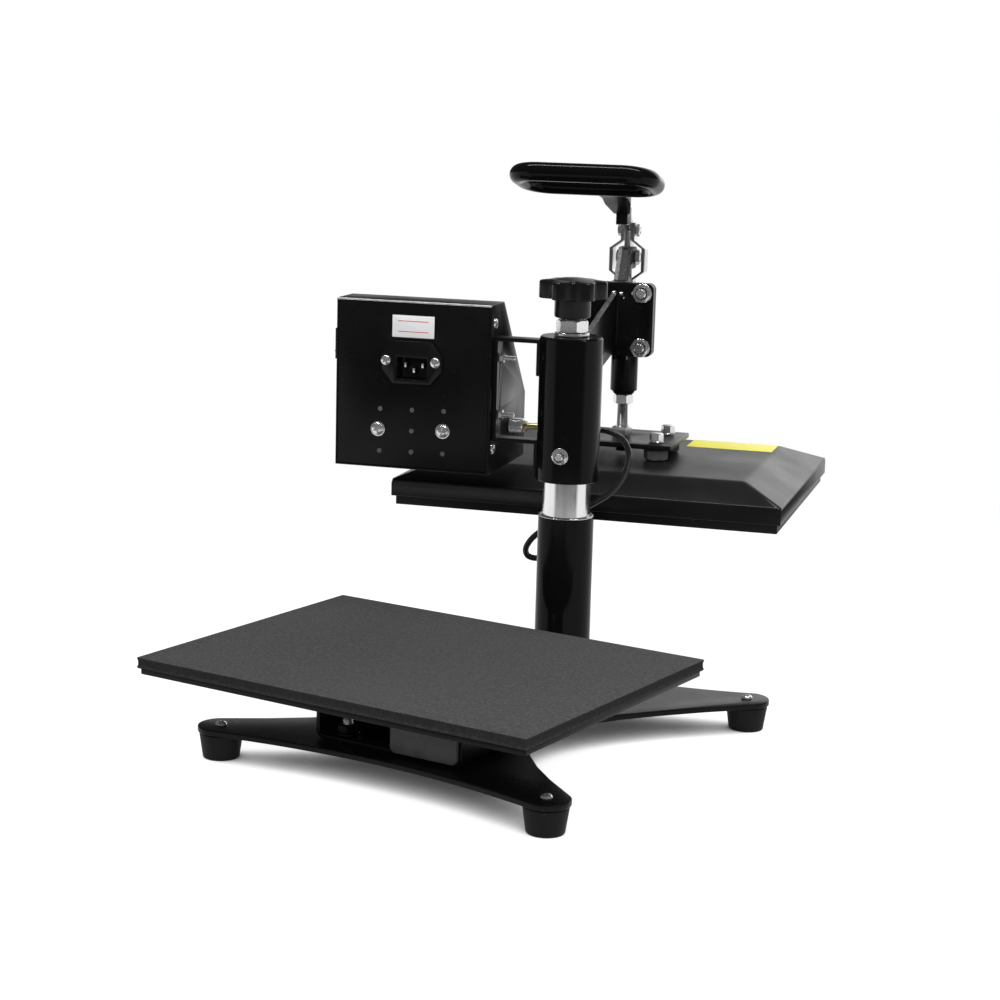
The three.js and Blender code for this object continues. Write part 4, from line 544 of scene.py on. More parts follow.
COATING = surface_of("plate_coating", (0.0040, 0.0040, 0.0044), (0.0075, 0.0075, 0.0080), (0.35, 0.5), 1200,
                     0.00003, specular=0.15, specks=((0.08, 0.08, 0.08), 360, 0.72))
SCUFFED = surface_of("scuffed_grey", (0.055, 0.056, 0.057), (0.11, 0.11, 0.112), (0.4, 0.6), 900, 0.00005,
                     patches=60, specks=((0.16, 0.16, 0.16), 700, 0.68))
CAST = surface_of("cast_metal", (0.06, 0.06, 0.062), (0.30, 0.30, 0.31), (0.45, 0.7), 1100, 0.00010,
                  metallic=0.3, patches=420, specks=((0.5, 0.5, 0.51), 900, 0.66))
ROUGH_BLACK = surface_of("rough_black", (0.006, 0.006, 0.007), (0.022, 0.022, 0.023), (0.35, 0.6), 1100,
                         0.00012, patches=420, specular=0.3, specks=((0.20, 0.20, 0.20), 640, 0.66))
# A lighter grey for the gusset's upward faces: a painted highlight.
GUSSET_TOP_HIGHLIGHT = surface_of("gusset_top_painted_highlight", (0.12, 0.12, 0.12), (0.34, 0.34, 0.35), (0.3, 0.5), 900, 0.00004, metallic=0.5,
                  patches=220)
# Near-white for the box's bare top edge at the back: a painted highlight.
BARE_EDGE_HIGHLIGHT = surface_of("bare_edge_painted_highlight", (0.50, 0.50, 0.50), (0.88, 0.88, 0.88), (0.3, 0.5), 900, 0.00002,
                       patches=160)
LABEL_RED = surface_of("label_red", (0.55, 0.05, 0.04), (0.62, 0.08, 0.06), (0.42, 0.55), 900, 0.00001)
LABEL_YELLOW = surface_of("label_yellow", (0.80, 0.74, 0.09), (0.88, 0.82, 0.15), (0.35, 0.5), 900, 0.00001)
SEGMENT = surface_of("display_segment", (0.10, 0.006, 0.006), (0.13, 0.008, 0.008), (0.2, 0.3), 900, 0.000005)

# Heater cable, on the route of the frame: side, reach and height on the head's axes
CABLE_RADIUS = 0.0024
CABLE_ROUTE = [
    (-0.022, 0.038, 0.2188), (-0.002, 0.0385, 0.220), (0.017, 0.039, 0.2195), (0.025, 0.039, 0.218),
    (0.032, 0.039, 0.215), (0.037, 0.039, 0.209), (0.0394, 0.039, 0.2015), (0.039, 0.039, 0.194),
    (0.0376, 0.039, 0.188), (0.0342, 0.039, 0.1805), (0.0295, 0.039, 0.174), (0.0233, 0.0385, 0.1678),
    (0.014, 0.038, 0.1615), (0.0, 0.0375, 0.153), (-0.016, 0.037, 0.1435), (-0.032, 0.0375, 0.1328),
    (-0.0388, 0.0385, 0.1255), (-0.042, 0.0395, 0.1185), (-0.0406, 0.041, 0.1136), (-0.0355, 0.042, 0.1117),
    (-0.027, 0.043, 0.113), (-0.018, 0.044, 0.1175), (-0.011, 0.0445, 0.125), (-0.0065, 0.045, 0.1345),
    (-0.005, 0.045, 0.145),
]
CABLE_STEPS = 8


def passed(first, second, start, end, time):
    """The place at a time, on the way from the first at start to the second at end."""
    return first * ((end - time) / (end - start)) + second * ((time - start) / (end - start))


def centripetal(points, steps):
    """Points on a smooth curve through the given ones."""
    chain = [2 * points[0] - points[1], *points, 2 * points[-1] - points[-2]]
    curve = []
    for i in range(1, len(chain) - 2):
        p0, p1, p2, p3 = chain[i - 1:i + 3]
        t1 = math.sqrt((p1 - p0).length)
        t2 = t1 + math.sqrt((p2 - p1).length)
        t3 = t2 + math.sqrt((p3 - p2).length)
        for k in range(steps):
            t = t1 + (t2 - t1) * k / steps
            a1 = passed(p0, p1, 0, t1, t)
            a2 = passed(p1, p2, t1, t2, t)
            a3 = passed(p2, p3, t2, t3, t)
            b1 = passed(a1, a2, 0, t2, t)
            b2 = passed(a2, a3, t1, t3, t)
            curve.append(passed(b1, b2, t1, t2, t))
    curve.append(points[-1])
    return curve


def make_cable():
    """The cable from the connector to the gland, with one end on the head and the other on the platen."""
    start = head_centre("cable_connector")
    start.x = head_box("cable_connector")[1].x + AIR
    end = head_centre("cable_gland")
    end.y = head_box("cable_gland")[0].y - AIR
    points = [start, start + Vector((CABLE_RADIUS, 0, 0)), *[Vector(p) for p in CABLE_ROUTE],
              end - Vector((0, CABLE_RADIUS, 0)), end]
    path = [HEAD @ p for p in centripetal(points, CABLE_STEPS)]
    bm = tube(path, CABLE_RADIUS, 20)
    cable = add_piece("heater_cable_finished", bm, CABLE_SKIN, "head",
                      replaced=("heater_cable",))
    cable.parent = None
    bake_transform(cable)


make_cable()

# Screws, bolts and nuts
M8 = 0.004
M6 = 0.003
M4 = 0.002
HEX_STEPS = 96
CHAMFER_SHARE = 0.93
CHAMFER_SLOPE = math.tan(math.radians(30))


def hexagon(across, angle):
    """Distance from the centre to a hexagon's edge at an angle."""
    sector = math.pi / 3
    return across / 2 / math.cos((angle % sector) - sector / 2)


def hex_head(across, height, bore=0.0):
    """A hexagon with its corners turned down to a circle, above z = 0."""
    bm = bmesh.new()
    circle = across / 2 * CHAMFER_SHARE

    def ring(radius_of, z_of):
        return [bm.verts.new(on_circle(radius_of(a), a, z_of(a))) for a in turns(HEX_STEPS)]

    def plain(radius, z):
        return ring(lambda a: radius, lambda a: z)

    def edge(a):
        return hexagon(across, a)

    def drop(a):
        return (edge(a) - circle) * CHAMFER_SLOPE

    rings = [plain(circle, 0.0), ring(edge, drop), ring(edge, lambda a: height - drop(a)),
             plain(circle, height)]
    if bore:
        lip = bore * 0.12
        hole = [(bore + lip, height), (bore, height - lip), (bore, lip), (bore + lip, 0.0)]
        rings += [plain(radius, z) for radius, z in hole]
        rings.append(rings[0])
    else:
        bm.faces.new(rings[0][::-1])
        bm.faces.new(rings[-1])
    bridge(bm, rings)
    return bm


def threaded(radius, length, pitch=0.00125, steps=28):
    """A rod end with the ridges of a thread and a small chamfer."""
    depth = pitch * 0.5
    profile = [(0, 0), (radius - depth, 0)]
    z = pitch / 2
    while z < length - pitch:
        profile += [(radius - depth, z), (radius, z + pitch * 0.4), (radius, z + pitch * 0.5)]
        z += pitch
    profile += [(radius - depth, length - pitch / 2), (radius - 1.6 * depth, length), (0, length)]
    return lathe(profile, steps)


def hollow(inner, outer, low, high, edge):
    """The outline of a ring with rounded edges, for the lathe."""
    return filleted([(inner, low), (outer, low), (outer, high), (inner, high)], edge, 3)


def washer(outer, inner, thickness):
    return lathe(hollow(inner, outer, 0, thickness, thickness * 0.25), 48, closed=True)


def cross_screw(radius, height):
    """A round head with a cross recess, above z = 0."""
    profile = [(0, 0), (radius * 0.96, 0), (radius, height * 0.12), (radius * 0.97, height * 0.4),
               (radius * 0.82, height * 0.72), (radius * 0.55, height * 0.92), (radius * 0.25, height),
               (0, height)]
    head = lathe(profile, 40)
    arm, width = radius * 1.16, radius * 0.26
    for size in ((arm, width), (width, arm)):
        head = carved(head, lifted(prism(rectangle(*size, width * 0.2), height), height * 0.38))
    return head


def shank(radius, length):
    return lathe([(0, 0), (radius, 0), (radius, length), (0, length)], 32)


# Lower pad
PAD_CROWN = 0.0003
PAD_CORNER = 0.002
PAD_SIDE_HOLLOW = 0.0009
PAD_CUTS = 40
PAD_RIPPLE = 0.00012
PAD_INNER = 0.9


def make_pad():
    """A sponge slab: flat underneath, barely crowned above, with sides that draw in between its faces."""
    low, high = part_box("lower_pad")
    width, depth, height = high - low
    levels = [(0.0006, 0.0), (0.0, 0.0007), (PAD_SIDE_HOLLOW * 0.8, 0.28), (PAD_SIDE_HOLLOW, 0.5),
              (PAD_SIDE_HOLLOW * 0.8, 0.72), (0.0001, height - 0.0009), (0.0003, height - 0.0003),
              (0.0011, height)]
    bm = bmesh.new()
    rings = []
    for inset, level in levels:
        z = level * height if level >= 0.28 else level
        outline = rectangle(width - 2 * inset, depth - 2 * inset, max(PAD_CORNER - inset, 0.0008))
        points = []
        for a, b in zip(outline, outline[1:] + outline[:1]):
            cuts = PAD_CUTS if (Vector(b) - Vector(a)).length > depth / 2 else 1
            points += [Vector(a).lerp(Vector(b), k / cuts) for k in range(cuts)]
        ring = []
        for p in points:
            ripple = PAD_RIPPLE * math.sin(p.x * 61 + z * 90) * math.cos(p.y * 47)
            ring.append(bm.verts.new((p.x * (1 - ripple / width), p.y * (1 - ripple / depth), z)))
        rings.append(ring)
    bm.faces.new(rings[0][::-1])
    inner_height = height + PAD_CROWN * 0.7
    rings.append([bm.verts.new((v.co.x * PAD_INNER, v.co.y * PAD_INNER, inner_height)) for v in rings[-1]])
    rings.append([bm.verts.new((0, 0, height + PAD_CROWN))])
    bridge(bm, rings)
    place = at(PAD_CENTRE.x, PAD_CENTRE.y, low.z)
    pad = stand_in("lower_pad", bm, SPONGE, place, math.radians(50))


# Base
FOOT_SCREW_RADIUS = 0.0042
FOOT_SCREW_HEIGHT = 0.0026
FOOT_TAPER = 13.2 / 16
CHANNEL_SEAT = 0.0033
TUBE_RIM = 0.0009
SHAFT_WALL = 0.006
WELD_POOL = 0.0009


def make_foot(node):
    """A tapered rubber foot with a moulded rim and a grip ring under it."""
    low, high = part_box(node)
    centre = box_centre(node)
    top = (high.x - low.x) / 2
    bottom = top * FOOT_TAPER
    height = high.z - low.z
    profile = [(0, 0), (bottom * 0.45, 0), (bottom * 0.5, 0.0006), (bottom * 0.6, 0.0006), (bottom * 0.65, 0),
               (bottom, 0), (top, height), (0, height)]
    foot = lathe(filleted(profile, 0.0014, 5, closed=False), 72)
    stand_in(node, foot, FOOT_RUBBER, at(centre.x, centre.y, low.z))
    screw = cross_screw(FOOT_SCREW_RADIUS, FOOT_SCREW_HEIGHT)
    place = at(centre.x, centre.y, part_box("base_plate")[1].z)
    add_piece(node.replace("foot", "foot_screw"), screw, ZINC, "base", place)


def make_channel_bolt():
    """A bolt inside the channel, with a washer, a nut and its bright end; below the nut's top it is coloured
    black as painted shade.
    """
    low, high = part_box("channel_bolt")
    centre = box_centre("channel_bolt")
    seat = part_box("pad_channel")[0].z + CHANNEL_SEAT
    parts = merge(
        shank(M8, seat - low.z + 0.004),
        lifted(washer(0.0088, 0.0042, 0.0014), seat - low.z),
        lifted(hex_head(min(high.x - low.x, high.y - low.y), 0.0056, 0.0042), seat - low.z + 0.0014),
        lifted(threaded(M8, high.z - seat - 0.004), seat - low.z + 0.004),
    )
    bolt = stand_in("channel_bolt", parts, ZINC, at(centre.x, centre.y, low.z))
    nut_top = seat + 0.0071
    # Washer, nut and the shank under them take the black paint: painted shade at the channel's floor.
    second_finish(bolt, PAINT, lambda place, way: place.z < nut_top)


def make_column():
    """The lower tube, its bare rim and the shaft."""
    low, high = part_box("lower_tube")
    outer = (high.x - low.x) / 2
    shaft_low, shaft_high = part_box("column_shaft")
    shaft = (shaft_high.x - shaft_low.x) / 2
    bore = shaft + AIR
    body_top = high.z - TUBE_RIM
    body = [(bore, low.z), (outer, low.z), (outer, body_top), (bore, body_top)]
    stand_in("lower_tube", lathe(body, 96, closed=True), GLOSS, COLUMN)
    rim = filleted([(bore, body_top), (outer, body_top), (outer - 0.0001, high.z), (bore, high.z)], 0.0004, 3)
    add_piece("lower_tube_rim", lathe(rim, 96, closed=True), BRIGHT, "base", COLUMN)
    bar = hollow(shaft - SHAFT_WALL, shaft, shaft_low.z, shaft_high.z, 0.0008)
    stand_in("column_shaft", lathe(bar, 96, closed=True), BRIGHT, COLUMN)


def nodes_named(start):
    return [node for node in sorted(frame["nodes"]) if node.startswith(start)]


def make_base():
    dress("base_plate", PAINT, 0.0007, 3)
    dress("pad_channel", PAINT, 0.0004)
    dress("channel_end_plate", SCUFFED, 0.0008, 3)
    dress("pad_plate", PAINT, 0.0004)
    for node in nodes_named("foot_"):
        make_foot(node)
    make_channel_bolt()
    make_column()
    make_pad()


make_base()

# Knob and lift
STAR_LOBES = 6
STAR_TURN = math.radians(13.9)
STAR_VALLEY_SHARE = 0.246
STAR_STEPS = 240
STAR_RADIUS = 0.026
STAR_THICKNESS = 0.014
DOME_RISE = 0.0022
HUB_RADIUS = 0.014
SCREW_RADIUS = 0.008
SCREW_HOLE = 0.0083
SLEEVE_RIM = 0.0014
SLEEVE_CAP = 0.006


def star_radius(angle):
    wave = 0.5 - 0.5 * math.cos(STAR_LOBES * (angle - STAR_TURN))
    return STAR_RADIUS * (1 - STAR_VALLEY_SHARE * wave ** 1.15)


def make_knob():
    """A moulded star on a round hub, with a domed top and a shallow ring in it, and the screw under it."""
    low, high = head_box("star_knob")
    top = high.z - DOME_RISE
    bottom = top - STAR_THICKNESS
    hub = [(HUB_RADIUS - 0.0050, low.z), (HUB_RADIUS - 0.0016, low.z), (HUB_RADIUS - 0.0004, low.z + 0.0006),
           (HUB_RADIUS, low.z + 0.0018), (HUB_RADIUS, bottom - 0.001), (HUB_RADIUS + 0.0006, bottom)]
    insets = [(0.0012, bottom + 0.0001), (0.0005, bottom + 0.0003), (0.0001, bottom + 0.0008),
              (0.0, bottom + 0.0016), (0.0, top - 0.0024), (0.0002, top - 0.0012), (0.0009, top - 0.0003),
              (0.0022, top)]
    dome = [(0.0170, top + 0.0007), (0.0155, top + 0.0005), (0.0148, top + 0.0006), (0.010, top + 0.0016),
            (0.005, top + 0.0021)]
    bm = bmesh.new()
    rings = []
    angles = turns(STAR_STEPS)
    for levels, starred in ((hub, False), (insets, True), (dome, False)):
        for size, z in levels:
            radii = [star_radius(a) - size if starred else size for a in angles]
            rings.append([bm.verts.new(on_circle(r, a, z)) for r, a in zip(radii, angles)])
    bm.faces.new(rings[0][::-1])
    rings.append([bm.verts.new((0, 0, high.z))])
    bridge(bm, rings)
    stand_in("star_knob", bm, BLACK_PLASTIC, HEAD, math.radians(40))
    low, high = head_box("lift_screw")
    screw = threaded(SCREW_RADIUS, high.z - low.z - 0.0005, 0.002, 40)
    stand_in("lift_screw", screw, ZINC, HEAD @ at(0, 0, low.z))


def make_sleeve():
    """The sleeve: open below, with a cap above that the lift screw goes through."""
    low, high = head_box("upper_sleeve")
    shaft_low, shaft_high = head_box("column_shaft")
    outer = (high.x - low.x) / 2
    bore = (shaft_high.x - shaft_low.x) / 2 + AIR
    cap = high.z - SLEEVE_CAP
    profile = [(bore, low.z), (outer - 0.0005, low.z), (outer, low.z + 0.0005), (outer, high.z - SLEEVE_RIM),
               (outer - SLEEVE_RIM * 0.75, high.z), (SCREW_HOLE + 0.0006, high.z),
               (SCREW_HOLE, high.z - 0.0006), (SCREW_HOLE, cap), (bore, cap)]
    stand_in("upper_sleeve", lathe(profile, 128, closed=True), GLOSS, HEAD)


def make_lift_nut():
    low, high = head_box("lift_nut")
    nut = hex_head(0.022, high.z - low.z - 0.0027, SCREW_HOLE)
    parts = merge(washer(0.0135, SCREW_HOLE, 0.0025), lifted(nut, 0.0027))
    stand_in("lift_nut", parts, ZINC, HEAD @ at(0, 0, low.z))


def make_lock_bolt():
    """A nut on a threaded end, with a washer against the sleeve."""
    low, high = head_box("lock_bolt")
    head = 0.0055
    face = 0.0010
    washer_height = 0.0012
    parts = merge(
        lifted(hex_head(0.0105, head - washer_height - face, 0.0041), face),
        threaded(M6, head, 0.0008),
        lifted(washer(0.0064, 0.0041, washer_height), head - washer_height),
        lifted(shank(M8, high.y - low.y - head), head),
    )
    stand_in("lock_bolt", parts, ZINC, head_place("lock_bolt", Y))


make_knob()
make_sleeve()
make_lift_nut()
make_lock_bolt()
dress("thrust_disc", BRASS, 0.0004)

# Arm and clamp
CLAMP_NUT = 0.014
CLAMP_NUT_HEIGHT = 0.006
CLAMP_WASHER = 0.0016
BOLT_TIP = 0.0025
WELD_SLEEVE_TOP = 0.284
WELD_FACE_BOTTOM = 0.273
WELD_DROPS = [(0.0, 0.0005, 0.0021), (0.0062, 0.0002, 0.0017), (0.0085, -0.003, 0.0009)]


def make_clamp_bolt(node):
    """A bolt along the arm, with its threaded end, nut and washer toward the column."""
    low, high = head_box(node)
    seat = high.y - low.y - CLAMP_NUT_HEIGHT
    parts = merge(
        threaded(M8, BOLT_TIP + 0.002),
        lifted(hex_head(CLAMP_NUT, CLAMP_NUT_HEIGHT - CLAMP_WASHER, 0.0050), BOLT_TIP),
        lifted(washer(0.0078, 0.0042, CLAMP_WASHER), BOLT_TIP + CLAMP_NUT_HEIGHT - CLAMP_WASHER),
        lifted(shank(M8, seat - BOLT_TIP), BOLT_TIP + 0.002),
        lifted(hex_head(CLAMP_NUT, CLAMP_NUT_HEIGHT - AIR), seat),
    )
    stand_in(node, parts, ZINC, head_place(node, Y))


def make_cross_bolt(node, radius, across, head):
    """A bolt across the clamp, along the head's side axis."""
    low, high = head_box(node)
    length = high.x - low.x
    parts = merge(
        hex_head(across, head),
        lifted(shank(radius, length - 2 * head), head),
        lifted(hex_head(across, head, radius), length - head),
        lifted(threaded(radius - 0.0001, head), length - head),
    )
    stand_in(node, parts, ZINC, head_place(node, X))


def make_weld(name, start, end, radius):
    """A weld bead on the head: a low ridge with the ripples of its pools."""
    start, end = Vector(start), Vector(end)
    count = max(int((end - start).length / WELD_POOL), 4)
    path = [start.lerp(end, k / count) for k in range(count + 1)]
    radii = [radius * (0.86 + 0.14 * abs(math.sin(k * 1.35))) for k in range(count + 1)]
    radii[0] = radii[-1] = radius * 0.5
    add_piece(name, tube(path, radius, 12, radii=radii), PAINT, "head", HEAD)


def make_welds():
    """Two upright beads on each side of the gusset, and drops of weld at its far top corner."""
    low, high = head_box("arm_gusset")
    root = low.y - AIR
    for side, word in ((-1, "left"), (1, "right")):
        x = side * ((high.x - low.x) / 2 + 0.0004)
        make_weld(f"weld_sleeve_{word}", (x, root, low.z + 0.004), (x, root, WELD_SLEEVE_TOP), 0.0017)
        make_weld(f"weld_face_{word}", (x, high.y, WELD_FACE_BOTTOM), (x, high.y, high.z - 0.003), 0.0016)
    for i, (x, z, size) in enumerate(WELD_DROPS):
        drop = bmesh.new()
        bmesh.ops.create_icosphere(drop, subdivisions=3, radius=size)
        for v in drop.verts:
            v.co *= 1 + 0.16 * math.sin(v.co.x * 2900 + i) * math.cos(v.co.z * 2300)
        add_piece(f"weld_drop_{i}", drop, ZINC, "head", HEAD @ at(x, high.y, high.z + z))


def make_arm():
    """Gusset, end face and clamp. The gusset's top edge is lightened as a painted highlight, and the clamp is
    bare on its left half.
    """
    gusset = dress("arm_gusset", PAINT, 0.0003)
    # Faces of the gusset that turn upwards get a lighter grey: a painted highlight.
    second_finish(gusset, GUSSET_TOP_HIGHLIGHT, lambda place, way: way.z > 0.4 and abs(way.x) < 0.3)
    dress("arm_end_face", PAINT, 0.0003)
    clamp = dress("clamp_body", PAINT, 0.0003)
    start = head_box("arm_end_face")[1].z + AIR
    second_finish(clamp, CAST, lambda place, way: place.z > start and place.x < 0.0)
    second_finish(clamp, ROUGH_BLACK, lambda place, way: place.z > start and place.x >= 0.0, 2)
    for node in nodes_named("clamp_bolt_"):
        make_clamp_bolt(node)
    make_cross_bolt("lever_pivot_bolt", M8, 0.011, 0.0036)
    make_cross_bolt("link_pin", M6, 0.009, 0.0032)
    make_welds()


make_arm()

# Lever, handle and links
HANDLE_SIDES = 36
HANDLE_ROD = 0.0073
HANDLE_TILT = math.radians(12.8)
HANDLE_CORNER = 0.020
CORNER_STEPS = 16
LEVER_PAINT_START = 0.3726


def make_handle():
    """A round bar bent to a closed flat loop, under thick gloss paint."""
    low, high = head_box("handle_loop")
    rod, corner = HANDLE_ROD, HANDLE_CORNER
    depth = (high.z - low.z - 2 * rod) / math.sin(HANDLE_TILT)
    right = (high.x - low.x) / 2 - rod - corner
    outline = []
    for quarter, (x, y) in enumerate(((right, -corner), (-right, -corner), (-right, corner - depth),
                                      (right, corner - depth))):
        for k in range(CORNER_STEPS + 1):
            bend_x, bend_y, z = on_circle(corner, QUARTER * (quarter + k / CORNER_STEPS), 0)
            outline.append((x + bend_x, y + bend_y, z))
    far = at((high.x + low.x) / 2, high.y - rod, low.z + rod)
    place = HEAD @ far @ Matrix.Rotation(-HANDLE_TILT, 4, "X")
    stand_in("handle_loop", tube(outline, rod, HANDLE_SIDES, closed=True), GLOSS, place)


def make_lever():
    """Bare steel at the clamp, painted from the arm upwards."""
    lever = dress("lever", STRIP_STEEL, 0.0005)
    second_finish(lever, PAINT, lambda place, way: place.z > LEVER_PAINT_START)
    for node in ("link_left", "link_right"):
        dress(node, STRIP_STEEL, 0.0003)
    make_handle()


make_lever()

# Plunger and platen
THREAD_RADIUS = 0.00475
SHORTEST_FOLD = 0.015
STRIP_THICKNESS = 0.00025
STRIP_X = (0.0455, 0.1205)
STRIP_Y = (0.2455, 0.2832)


def make_rod_nut(node):
    low, high = head_box(node)
    stand_in(node, hex_head(0.015, high.z - low.z, 0.0048), ZINC, head_place(node, Z))


def make_stud(node):
    """A stud with its washer and nut, and the dark hexagon spacer under the plate."""
    low, high = head_box(node)
    plate_low, plate_high = head_box("floating_plate")
    seat = plate_high.z + AIR
    parts = merge(
        shank(M6, seat - low.z),
        lifted(washer(0.0062, 0.0032, 0.0010), seat - low.z),
        lifted(hex_head(0.0104, high.z - seat - 0.0014), seat - low.z + 0.0010),
    )
    stand_in(node, parts, ZINC, head_place(node, Z))
    foot = head_box("platen_cover")[1].z + AIR
    spacer = hex_head(0.018, plate_low.z - AIR - foot, 0.0031)
    name = node.replace("platen_stud", "platen_spacer")
    add_piece(name, spacer, SCUFFED, "platen", head_place(node, Z, foot))


def make_cover():
    """Folded sheet over the platen, with soft bends at its hips and shoulders."""
    bm = rounded_copy("platen_cover", 0)
    soften(bm, 0.0030, 4, 12, 45, SHORTEST_FOLD)
    soften(bm, 0.0014, 3, 60, 75, SHORTEST_FOLD)
    soften(bm, 0.0006, 2, 75, 120, SHORTEST_FOLD)
    stand_in("platen_cover", bm, TEXTURED)


def size_of(span):
    return span[1] - span[0]


def middle_of(span):
    return (span[0] + span[1]) / 2


def make_strip():
    """A bare yellow strip on the cover."""
    bm = slab(size_of(STRIP_X), size_of(STRIP_Y), STRIP_THICKNESS, 0.001, 0.00008)
    place = HEAD @ at(middle_of(STRIP_X), middle_of(STRIP_Y), head_box("platen_cover")[1].z)
    add_piece("platen_strip", bm, LABEL_YELLOW, "platen", place)


def make_platen():
    dress("plunger", BRIGHT, 0.0003)
    start, end = head_box("rod_nut_lower")[0].z - 0.002, head_box("rod_nut_upper")[1].z - 0.001
    thread = threaded(THREAD_RADIUS, end - start, steps=40)
    add_piece("plunger_thread", thread, BRIGHT, "platen", head_place("plunger", Z, start))
    make_rod_nut("rod_nut_upper")
    make_rod_nut("rod_nut_lower")
    dress("floating_plate", TEXTURED, 0.0005, 3)
    for node in nodes_named("platen_stud_"):
        make_stud(node)
    make_cover()
    dress("heating_plate", COATING, 0.0006, 3)
    dress("insulation_sheet", INSULATION, 0.0004)
    dress("cable_gland", BLACK_PLASTIC, 0.0005)
    make_strip()


make_platen()

# Control box
BACK_VENTS = [(-0.1467, 0.2335), (-0.1208, 0.2340), (-0.0951, 0.2345), (-0.1209, 0.2175),
              (-0.1470, 0.2004), (-0.1210, 0.2010), (-0.0954, 0.2013)]
RELAY_SCREWS = [(-0.1483, 0.2176), (-0.0956, 0.2190)]
INLET_SCREWS = [(-0.1418, 0.2720), (-0.1019, 0.2720)]
SIDE_SCREWS = [(-0.010, 0.3037), (-0.010, 0.2066)]
LABEL_X = (-0.1378, -0.1039)
LABEL_Z = (0.2902, 0.3072)
LABEL_THICKNESS = 0.0002
RULE_WIDTH = 0.0006
INLET_PINS = [(-0.007, 0.002), (0.007, 0.002), (0.0, -0.002)]
INLET_DROP = 0.0045
PIN_ROOT = 0.017
BRACKET_SEAT = 0.0033
CONNECTOR_BARREL = 0.006
CONNECTOR_TAIL = 0.0028
SEGMENT_LENGTH = 0.0062
SEGMENT_WIDTH = 0.0013
DIGIT_PLACES = [-0.016, -0.005, 0.006, 0.017]


def on_back(x, z, lift=0.0):
    """A place on the box's back panel, facing out of it."""
    return HEAD @ at(x, head_box("box_back")[0].y - lift, z) @ OUT_OF_BACK


def on_side(y, z, side):
    """A place on the box's left or right side, facing out of it."""
    low, high = head_box("box_shell")
    if side > 0:
        return HEAD @ at(high.x, y, z) @ ALONG[X]
    return HEAD @ at(low.x, y, z) @ Matrix.Rotation(-QUARTER, 4, "Y")


def turned(angle):
    return Matrix.Rotation(angle, 4, "Z")


def make_vent():
    """A punched dimple: a low rim round a dark cup."""
    profile = [(0.0019, 0), (0.0018, 0.00022), (0.0014, 0.0003), (0.0011, 0.0002), (0.0008, 0.00004),
               (0, 0.00002), (0, 0)]
    return lathe(profile, 28, closed=True)


def make_back():
    """The back panel with its vents and screws, and the screws of the box's sides."""
    dress("box_back", PAINT, 0.0003)
    for i, (x, z) in enumerate(BACK_VENTS):
        add_piece(f"back_vent_{i}", make_vent(), SCUFFED, "head", on_back(x, z))
    flange = head_box("box_back")[0].y - head_box("inlet_socket")[0].y
    screws = []
    for i, (x, z) in enumerate(RELAY_SCREWS):
        parts = merge(washer(0.0058, 0.002, 0.0006), lifted(cross_screw(0.0050, 0.0026), 0.0004))
        screws.append((f"relay_screw_{i}", parts, on_back(x, z) @ turned(0.4 + i)))
    for i, (x, z) in enumerate(INLET_SCREWS):
        place = on_back(x, z, flange) @ turned(0.7 + i)
        screws.append((f"inlet_screw_{i}", cross_screw(0.0040, 0.0020), place))
    for side, word in ((1, "right"), (-1, "left")):
        for i, (y, z) in enumerate(SIDE_SCREWS):
            screws.append((f"side_screw_{word}_{i}", cross_screw(0.0040, 0.0022), on_side(y, z, side)))
    for name, parts, place in screws:
        add_piece(name, parts, ZINC, "head", place)


def make_label():
    """A bare white label with two thin lines."""
    width, height = size_of(LABEL_X), size_of(LABEL_Z)
    place = on_back(middle_of(LABEL_X), middle_of(LABEL_Z))
    sheet = slab(width, height, LABEL_THICKNESS, 0.0006, 0.00006)
    add_piece("back_label", sheet, LABEL_WHITE, "head", place)
    for name, y in (("upper", height * 0.24), ("lower", -height * 0.24)):
        bar = slab(width * 0.72, RULE_WIDTH, LABEL_THICKNESS / 2, centre=(0, y, LABEL_THICKNESS * 0.9))
        add_piece(f"back_label_rule_{name}", bar, LABEL_RED, "head", place)


def make_inlet():
    """The inlet's body, with three blades rooted in the floor of its recess."""
    dress("inlet_socket", BLACK_PLASTIC, 0.0004)
    centre = head_centre("inlet_socket")
    root = head_box("inlet_socket")[0].y + PIN_ROOT
    for i, (x, z) in enumerate(INLET_PINS):
        pin = slab(0.0018, 0.0037, 0.0111, 0.0005, 0.0003)
        place = HEAD @ at(centre.x + x, root, centre.z - INLET_DROP + z) @ OUT_OF_BACK
        add_piece(f"inlet_pin_{i}", pin, ZINC, "head", place)


def slope_place():
    """The sloped panel's own axes: x across, y down the slope, z outwards."""
    low, high = head_box("control_panel")
    angle = math.atan2(high.z - low.z, high.y - low.y)
    return HEAD @ at(*head_centre("control_panel")) @ Matrix.Rotation(-angle, 4, "X")


def make_digit(x, y):
    """Seven unlit bars of one display figure."""
    half = SEGMENT_LENGTH / 2
    long = SEGMENT_LENGTH * 0.86
    bars = [(long, SEGMENT_WIDTH, 0, level * half) for level in (-2, 0, 2)]
    bars += [(SEGMENT_WIDTH, long, side * half, level * half) for level in (-1, 1) for side in (-1, 1)]
    return merge(*[slab(w, d, 0.00012, 0.0003, 0, (x + right, y + down, 0)) for w, d, right, down in bars])


def make_controls():
    dress("control_panel", BLACK_PLASTIC, 0.0005, 3)
    dress("display_window", WINDOW, 0.0004)
    for node in ("button_set", "button_down", "button_up"):
        dress(node, WHITE_PLASTIC, 0.0007, 3)
    place = slope_place()
    to_slope = place.inverted()
    points = [to_slope @ v.co for v in frame["nodes"]["display_window"].data.vertices]
    middle = sum(p.y for p in points) / len(points)
    place = place @ at(0, 0, max(p.z for p in points))
    for i, x in enumerate(DIGIT_PLACES):
        add_piece(f"display_digit_{i}", make_digit(x, middle), SEGMENT, "head", place)


